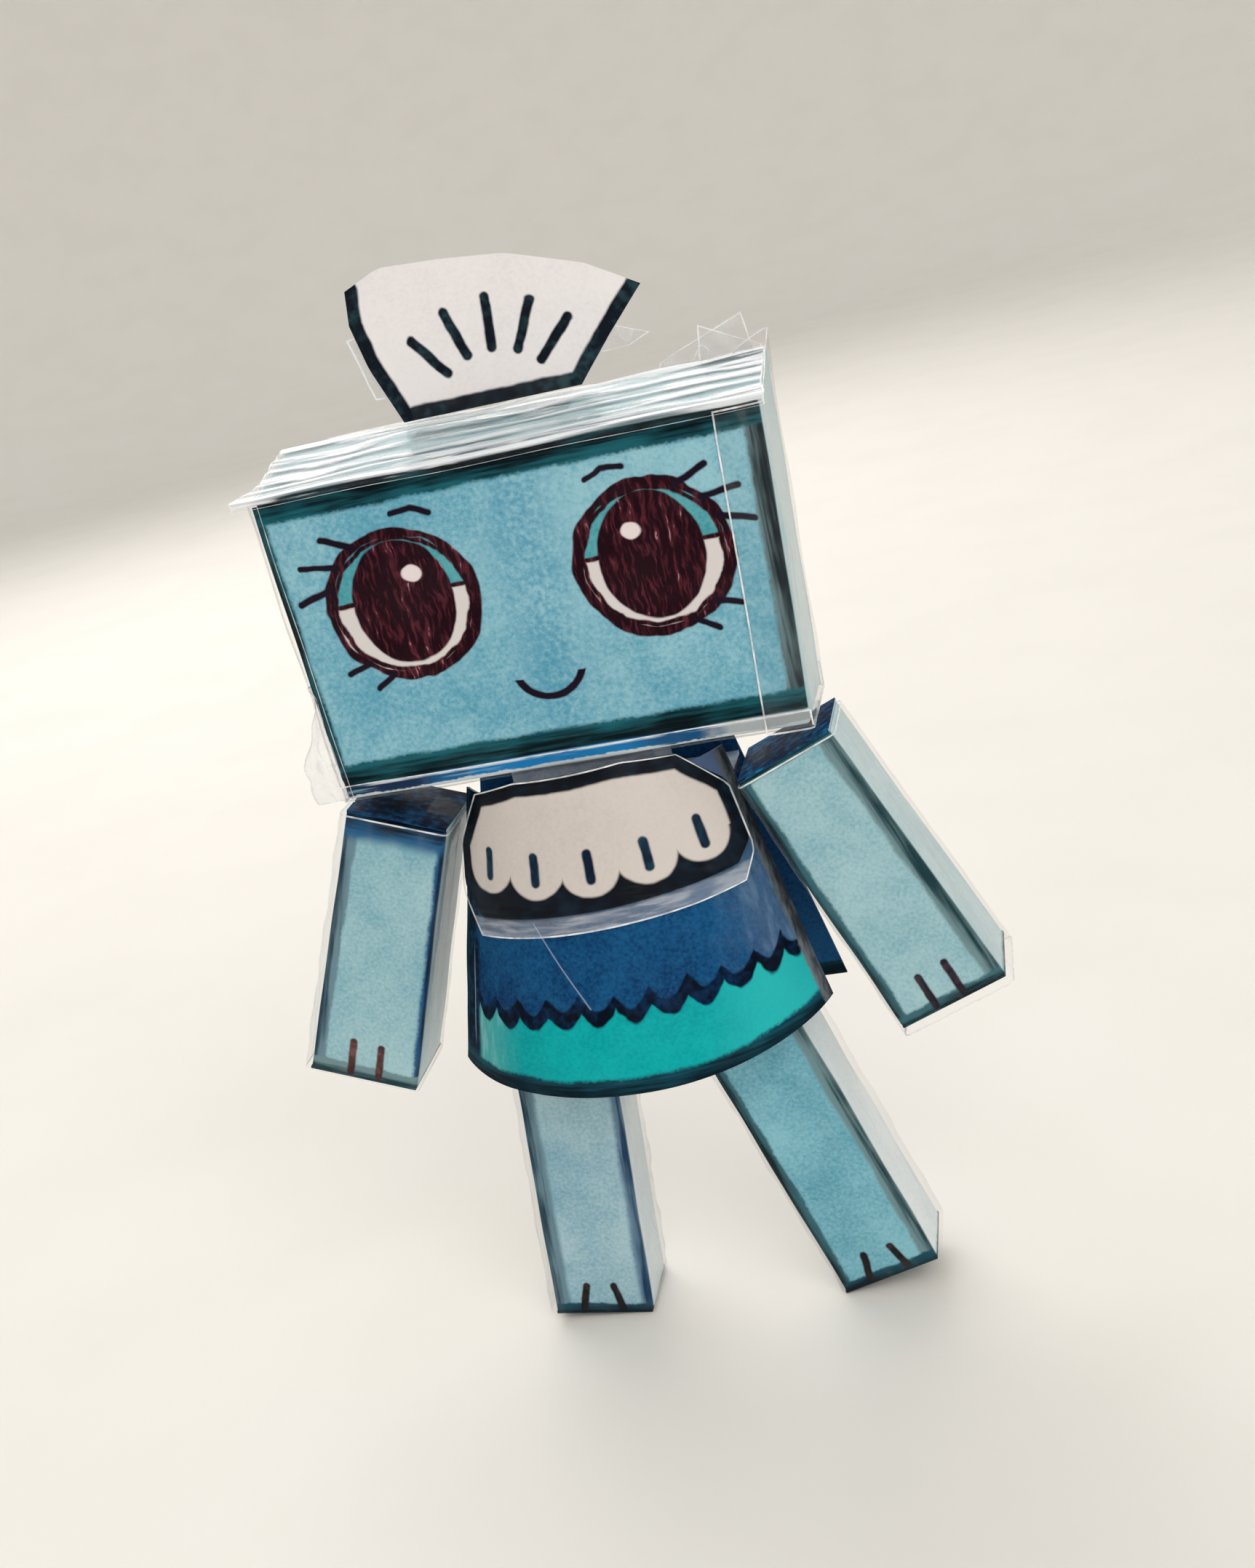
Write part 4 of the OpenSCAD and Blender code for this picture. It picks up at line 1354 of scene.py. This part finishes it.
# %% Build a limb
FILM_LAP, FILM_FOLD, FILM_LOW, FILM_TOP = 1.8, 0.8, 0.3, 0.7
DIGIT_FOOT = 0.9
CAP_INSET, CAP_BOW = 0.1, 0.1
LUMP_SIZE, LUMP = 9, 0.16


def build_limb(word, kind, joint, caps, look):
    """Sleeve, two caps and a tape wrap of one limb, with the colours and the loose tape of its look."""
    side, body, slot = SIDES[word], f"{word}_{kind}", f"{kind}_paper"
    top_cap, low_cap = (f"{word}_{cap}" for cap in caps)
    place = swung(joint, low_cap, side)
    sleeve_low, sleeve_high = in_frame(place, side, f"{word}_{kind}_sleeve")
    cap_low, cap_high = in_frame(place, side, top_cap)
    end_low, end_high = in_frame(place, side, low_cap)
    inner, outer_top, outer_low = end_low[0], cap_high[0], end_high[0]
    top, low, depth = cap_high[2], end_low[2], (sleeve_low[1], sleeve_high[1])
    sizes = (inner, outer_top, outer_low, depth[0], top, low)

    def outer(z):
        return outer_top + (outer_low - outer_top) * (top - z) / (top - low)

    def ripple(z):
        return 0.5 + 0.5 * math.sin(z * 0.37 + side) * math.sin(z * 0.9)

    roots = [inner + share * (outer_low - inner) for share, _, _ in look["digits"]]
    lines = [((root + lean, low + DIGIT_FOOT), (root, low + reach))
             for root, (_, lean, reach) in zip(roots, look["digits"])]
    finish = limb_finish(f"{word}_{kind}_paper", side, sizes, lines, look)
    paper_depth = (depth[0] + PAPER / 2, depth[1] - 1.5 * PAPER)
    grid = sleeve_grid(sleeve_low[2], sleeve_high[2], lambda z: inner + PAPER / 2,
                       lambda z: outer(z) - PAPER / 2, paper_depth, side, LAP, PAPER, LIMB_FOLD)
    grid = crumpled(grid, LUMP_SIZE, LUMP, side)
    sleeve = sheet(f"{word}_{kind}_sleeve_paper", [grid], PAPER, finish, place=place)
    settle(sleeve, body, slot, f"{word}_{kind}_sleeve")
    cap_depth = (depth[0] + CAP_INSET, depth[1] - CAP_INSET)
    for cap, z, x_out, bow in ((top_cap, (cap_low[2] + top) / 2, outer_top, CAP_BOW),
                               (low_cap, (low + end_high[2]) / 2, outer_low, 0.0)):
        lid = cap_grid(z, inner + CAP_INSET, x_out - CAP_INSET, cap_depth, side, bow)
        piece = sheet(f"{cap}_paper", [lid], PAPER, finish, place=place)
        settle(piece, body, slot, cap)
    fin_in, fin_out, hang = look["fins"]
    film = sleeve_grid(low + FILM_LOW - hang, top - FILM_TOP, lambda z: inner - STAND - fin_in * ripple(z),
                       lambda z: outer(z) + STAND + fin_out * (0.6 + 0.4 * ripple(z + 5)),
                       (depth[0] - STAND, depth[1] + STAND), side, FILM_LAP, 2 * TAPE, FILM_FOLD)
    film = crumpled(film, LUMP_SIZE, LUMP, side)
    wrap = sheet(f"{word}_{kind}_film", [film], TAPE, limb_film, look["edge"], place)
    settle(wrap, body, "clear_tape", f"{word}_{kind}_wrap")


print("a limb is a sleeve, two caps and a wrap")

# %% [markdown]
# The arms
# Both arms are coloured by the same hand but not alike: each has its own width and colour of pen on its
# inner, outer, top and lower edge. A table of looks keeps that apart from the folding, which is the
# same for all limbs. A digit is a share of the width, a lean and a height; fins are the tape's loose
# stand inward, outward and below. A band is a width, the pen's dark and dry colour, and how soft its
# rim is.

# %% Arms
navy_line = (paint(2, 16, 44), paint(30, 90, 136))
night_line = (paint(0, 8, 30), paint(34, 92, 136))
grey_line = (paint(18, 52, 72), paint(106, 138, 152))
dark_line = (paint(2, 28, 34), paint(56, 104, 116))
blue_lid = (paint(4, 34, 72), paint(10, 132, 196))
arm_wash = (paint(168, 204, 211), paint(116, 170, 186))
arm_sides = (paint(206, 226, 230), paint(178, 206, 213))
arm_digits = ((0.36, 0.0, 5.2), (0.62, 0.0, 5.4))
arm_looks = {
    "left": {"wash": arm_wash, "sides": arm_sides, "digits": arm_digits, "lid": navy_line,
             "ink": (paint(62, 34, 36), paint(122, 82, 80)), "fins": (0.15, 0.8, 0.3), "edge": tape_edge,
             "bands": ((0.8, navy_line, 0.3), (1.8, grey_line, 0.2),
                       (3.6, night_line, 1.0), (2.1, teal_line, 0.2))},
    "right": {"wash": arm_wash, "sides": arm_sides, "digits": arm_digits, "lid": blue_lid,
              "ink": (paint(26, 14, 32), paint(70, 48, 66)), "fins": (0.15, 0.25, 1.3), "edge": tape_edge,
              "bands": ((1.4, dark_line, 0.25), (2.0, teal_line, 0.3),
                        (1.0, dark_line, 0.3), (1.6, dark_line, 0.25))},
}
for word, look in arm_looks.items():
    build_limb(word, "arm", f"{word}_shoulder", ("shoulder_cap", "hand_cap"), look)

# %% [markdown]
# The legs
# The legs have paler sides than the arms, and two short toes that lean apart on each foot. The right
# leg is the deepest blue of the four. In the photograph their tape has no bright edges, so it gets
# none. They could be built apart from the arms, but only the looks change, so the same function makes
# them.

# %% Legs
blue_line = (paint(20, 56, 90), paint(102, 134, 158))
leg_sides = (paint(234, 241, 244), paint(208, 224, 231))
leg_digits = ((0.36, -0.8, 4.4), (0.64, 0.8, 4.4))
black_ink = (paint(14, 10, 12), paint(52, 40, 38))
leg_looks = {
    "left": {"wash": (paint(174, 205, 214), paint(122, 168, 188)), "sides": leg_sides, "digits": leg_digits,
             "lid": dark_line, "ink": black_ink, "fins": (0.5, 0.7, 0.0), "edge": None,
             "bands": ((1.4, blue_line, 0.4), (2.2, grey_line, 0.4),
                       (0.2, dark_line, 0.3), (1.6, hem_inks, 0.2))},
    "right": {"wash": (paint(140, 198, 212), paint(84, 154, 176)), "sides": leg_sides, "digits": leg_digits,
              "lid": dark_line, "ink": black_ink, "fins": (0.3, 0.6, 0.0), "edge": None,
              "bands": ((1.6, dark_line, 0.2), (1.7, teal_line, 0.3),
                        (0.2, dark_line, 0.3), (1.6, hem_inks, 0.2))},
}
for word, look in leg_looks.items():
    build_limb(word, "leg", f"{word}_hip", ("hip_cap", "foot_sole"), look)

# %% [markdown]
# Tape hinges
# Six strips of tape join the boxes and let them swing. On the real doll the tape bends along one line.
# Each strip is a path of two straight leaves with a small bend on the joint's axis.

# %% Lay a strip over each joint
BEAD = 0.3
HINGE_LEAF, FAN_LEAF = 4.6, 2.4


def hinge_film(node, joint, leaves, across, half, reach, film, edge=tape_edge):
    """A strip over a joint. leaves are (direction, side the tape lies on) for the parent and the child."""
    axis = pivot(joint)
    (run_a, out_a), (run_b, out_b) = [(np.array(run), np.array(out)) for run, out in leaves]
    leaf_a = [axis + run_a * step + out_a * BEAD for step in np.linspace(HINGE_LEAF, TURN, 8)]
    bends = [out_a + (out_b - out_a) * share for share in np.linspace(0, 1, 5)]
    bend = [axis + out / np.linalg.norm(out) * BEAD for out in bends]
    leaf_b = [axis + run_b * step + out_b * BEAD for step in np.linspace(TURN, reach, 8)]
    path = np.array(leaf_a + bend + leaf_b)
    steps = np.linspace(-half, half, 12)
    grid = path[:, None] + steps[None, :, None] * np.array(across)
    piece = sheet(node.replace("_tape", "_hinge_film"), [grid], TAPE, film, edge)
    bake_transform(piece)
    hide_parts(node)


# %% [markdown]
# Hinges of the limbs
# At a shoulder the tape runs from the body's top onto the arm's top; at a hip it runs down the leg's
# inner wall. Four strips could be laid one by one, but only the leaf on the limb differs, so a short
# table holds its two ways: along the limb's wall, and out of that wall, both in the limb's own frame
# for a right limb.

# %% Shoulders and hips
LIMB_HINGES = (("shoulder", "hand_cap", (1, 0, 0), (0, 0, 1), dull_film, None),
               ("hip", "foot_sole", (0, 0, -1), (1, 0, 0), flat_film, tape_edge))
for word, side in SIDES.items():
    for kind, cap, along, outward, film, edge in LIMB_HINGES:
        joint = f"{word}_{kind}"
        turn = swung(joint, f"{word}_{cap}", side).to_3x3() @ Matrix.Diagonal((side, 1, 1))
        limb_leaf = [np.array(turn @ Vector(way)) for way in (along, outward)]
        body_leaf = ((-side, 0, 0), (0, 0, 1))
        hinge_film(f"{joint}_tape", joint, (body_leaf, limb_leaf), (0, side, 0),
                   half_length(f"{joint}_tape", 1), HINGE_LEAF, film, edge)

# %% [markdown]
# Hinges of the head
# One strip behind the neck lets the head tilt back, and one at the foot of the fan lets the fan fold.
# The neck's strip is straight at rest. The fan's could be too, but it turns from the sloping roof up
# the fan, so both of its leaves are worked out from those two slopes.

# %% Neck and fan
hinge_film("neck_tape", "head_tilt", (((0, 0, -1), (0, 1, 0)), ((0, 0, 1), (0, 1, 0))), (-1, 0, 0),
           half_length("neck_tape", 0), HINGE_LEAF, flat_film)
slope = math.atan2(roof_back - roof_front, head_depth)
fan_leaves = (((0, -math.cos(slope), -math.sin(slope)), (0, math.sin(slope), -math.cos(slope))),
              ((0, math.sin(fan_lean), math.cos(fan_lean)), (0, -math.cos(fan_lean), math.sin(fan_lean))))
hinge_film("fan_tape", "fan_fold", fan_leaves, (-1, 0, 0),
           half_length("fan_tape", 0), FAN_LEAF, flat_film, None)

# %% [markdown]
# The floor
# The doll stands on a plain pale floor that sweeps up far away on all sides, so that no horizon shows.
# A large plane would do from above, but low views would look past its end, so the floor is a wide
# shallow bowl.

# %% A pale bowl


def floor_finish():
    material, at = start("pale_floor")
    colour = mix(paint(238, 235, 230), paint(235, 232, 226), smooth(blotch(at, 40.0), 0.3, 0.8))
    shader = at.node("ShaderNodeBsdfPrincipled", {}, {"Base Color": colour, "Roughness": 0.7})
    at.node("ShaderNodeOutputMaterial", {}, {"Surface": shader}, out=None)
    return material


FLOOR_FLAT, FLOOR_REACH, FLOOR_STEEP = 1300, 3000, 0.0011
FLOOR_THICK = 1.0
floor_run = np.linspace(-FLOOR_REACH, FLOOR_REACH, 90)
floor_x, floor_y = np.meshgrid(floor_run[::-1], floor_run)
beyond = np.maximum(np.hypot(floor_x, floor_y) - FLOOR_FLAT, 0)
floor_z = FLOOR_STEEP * beyond ** 2 - FLOOR_THICK / 2
floor = sheet("floor", [np.stack([floor_x, floor_y, floor_z], axis=-1)], FLOOR_THICK, floor_finish())
print("floor is flat for", FLOOR_FLAT, "mm round the doll")

# %% [markdown]
# Light
# In the photograph, light comes from behind and above, and the shadow falls softly to the front. A sun
# lamp would give hard shadows, so two wide area lamps and an even sky are used. They are set so that a
# colour renders about as it is written, and the view transform leaves it alone.

# %% Lamps and sky


def lamp(name, place, aim, size, power, colour):
    """A square area lamp, aimed at a point."""
    light = bpy.data.lights.new(name, "AREA")
    light.size = size
    light.energy = power
    light.color = colour
    item = bpy.data.objects.new(name, light)
    item.location = place
    item.rotation_euler = (Vector(aim) - Vector(place)).to_track_quat("-Z", "Y").to_euler()
    item.visible_camera = False
    bpy.context.scene.collection.objects.link(item)


lamp("window_lamp", (-0.32, 0.62, 0.62), (0, 0, 0.08), 0.7, 3.4, (1.0, 0.98, 0.95))
lamp("front_lamp", (0.5, -0.8, 0.7), (0, 0, 0.07), 0.9, 6.0, (1.0, 0.99, 0.97))
world = bpy.data.worlds.new("soft_room")
world.use_nodes = True
sky = world.node_tree.nodes["Background"]
sky.inputs["Color"].default_value = (1.0, 0.995, 0.985, 1.0)
sky.inputs["Strength"].default_value = 0.8
bpy.context.scene.world = world
bpy.context.scene.view_settings.view_transform = "Standard"
print("two lamps and a sky of strength", sky.inputs["Strength"].default_value)

# %% [markdown]
# Camera
# The photograph is a close-up from a little over 20 cm, somewhat from the right and above, and rolled.
# An aimed camera could be nudged by eye, but its yaw, pitch and roll were worked out from the corners
# of the boxes. FOCAL is the focal length as a share of the picture's height, and depth of field stays
# off.

# %% Camera at the photograph's angle
FOCAL = 1.2
SENSOR = 36.0
YAW, PITCH, ROLL = (math.radians(angle) for angle in (14.1, 17.8, 13.65))
CAMERA_AT = (58.4, -211.3, 144.8)
forward = Vector((-math.sin(YAW) * math.cos(PITCH), math.cos(YAW) * math.cos(PITCH), -math.sin(PITCH)))
level = Vector((math.cos(YAW), math.sin(YAW), 0))
below = forward.cross(level)
right = level * math.cos(ROLL) + below * math.sin(ROLL)
upward = level * math.sin(ROLL) - below * math.cos(ROLL)
camera_data = bpy.data.cameras.new("photo_camera")
camera_data.sensor_fit = "VERTICAL"
camera_data.sensor_height = SENSOR
camera_data.lens = SENSOR * FOCAL
camera_data.clip_start = 0.01
camera = bpy.data.objects.new("photo_camera", camera_data)
turned = Matrix((right, upward, -forward)).transposed().to_4x4()
camera.matrix_world = Matrix.Translation(Vector(CAMERA_AT) * MM) @ turned
bpy.context.scene.collection.objects.link(camera)
bpy.context.scene.camera = camera
print("camera looks", [round(part, 3) for part in forward], "lens", round(camera_data.lens, 1), "mm")
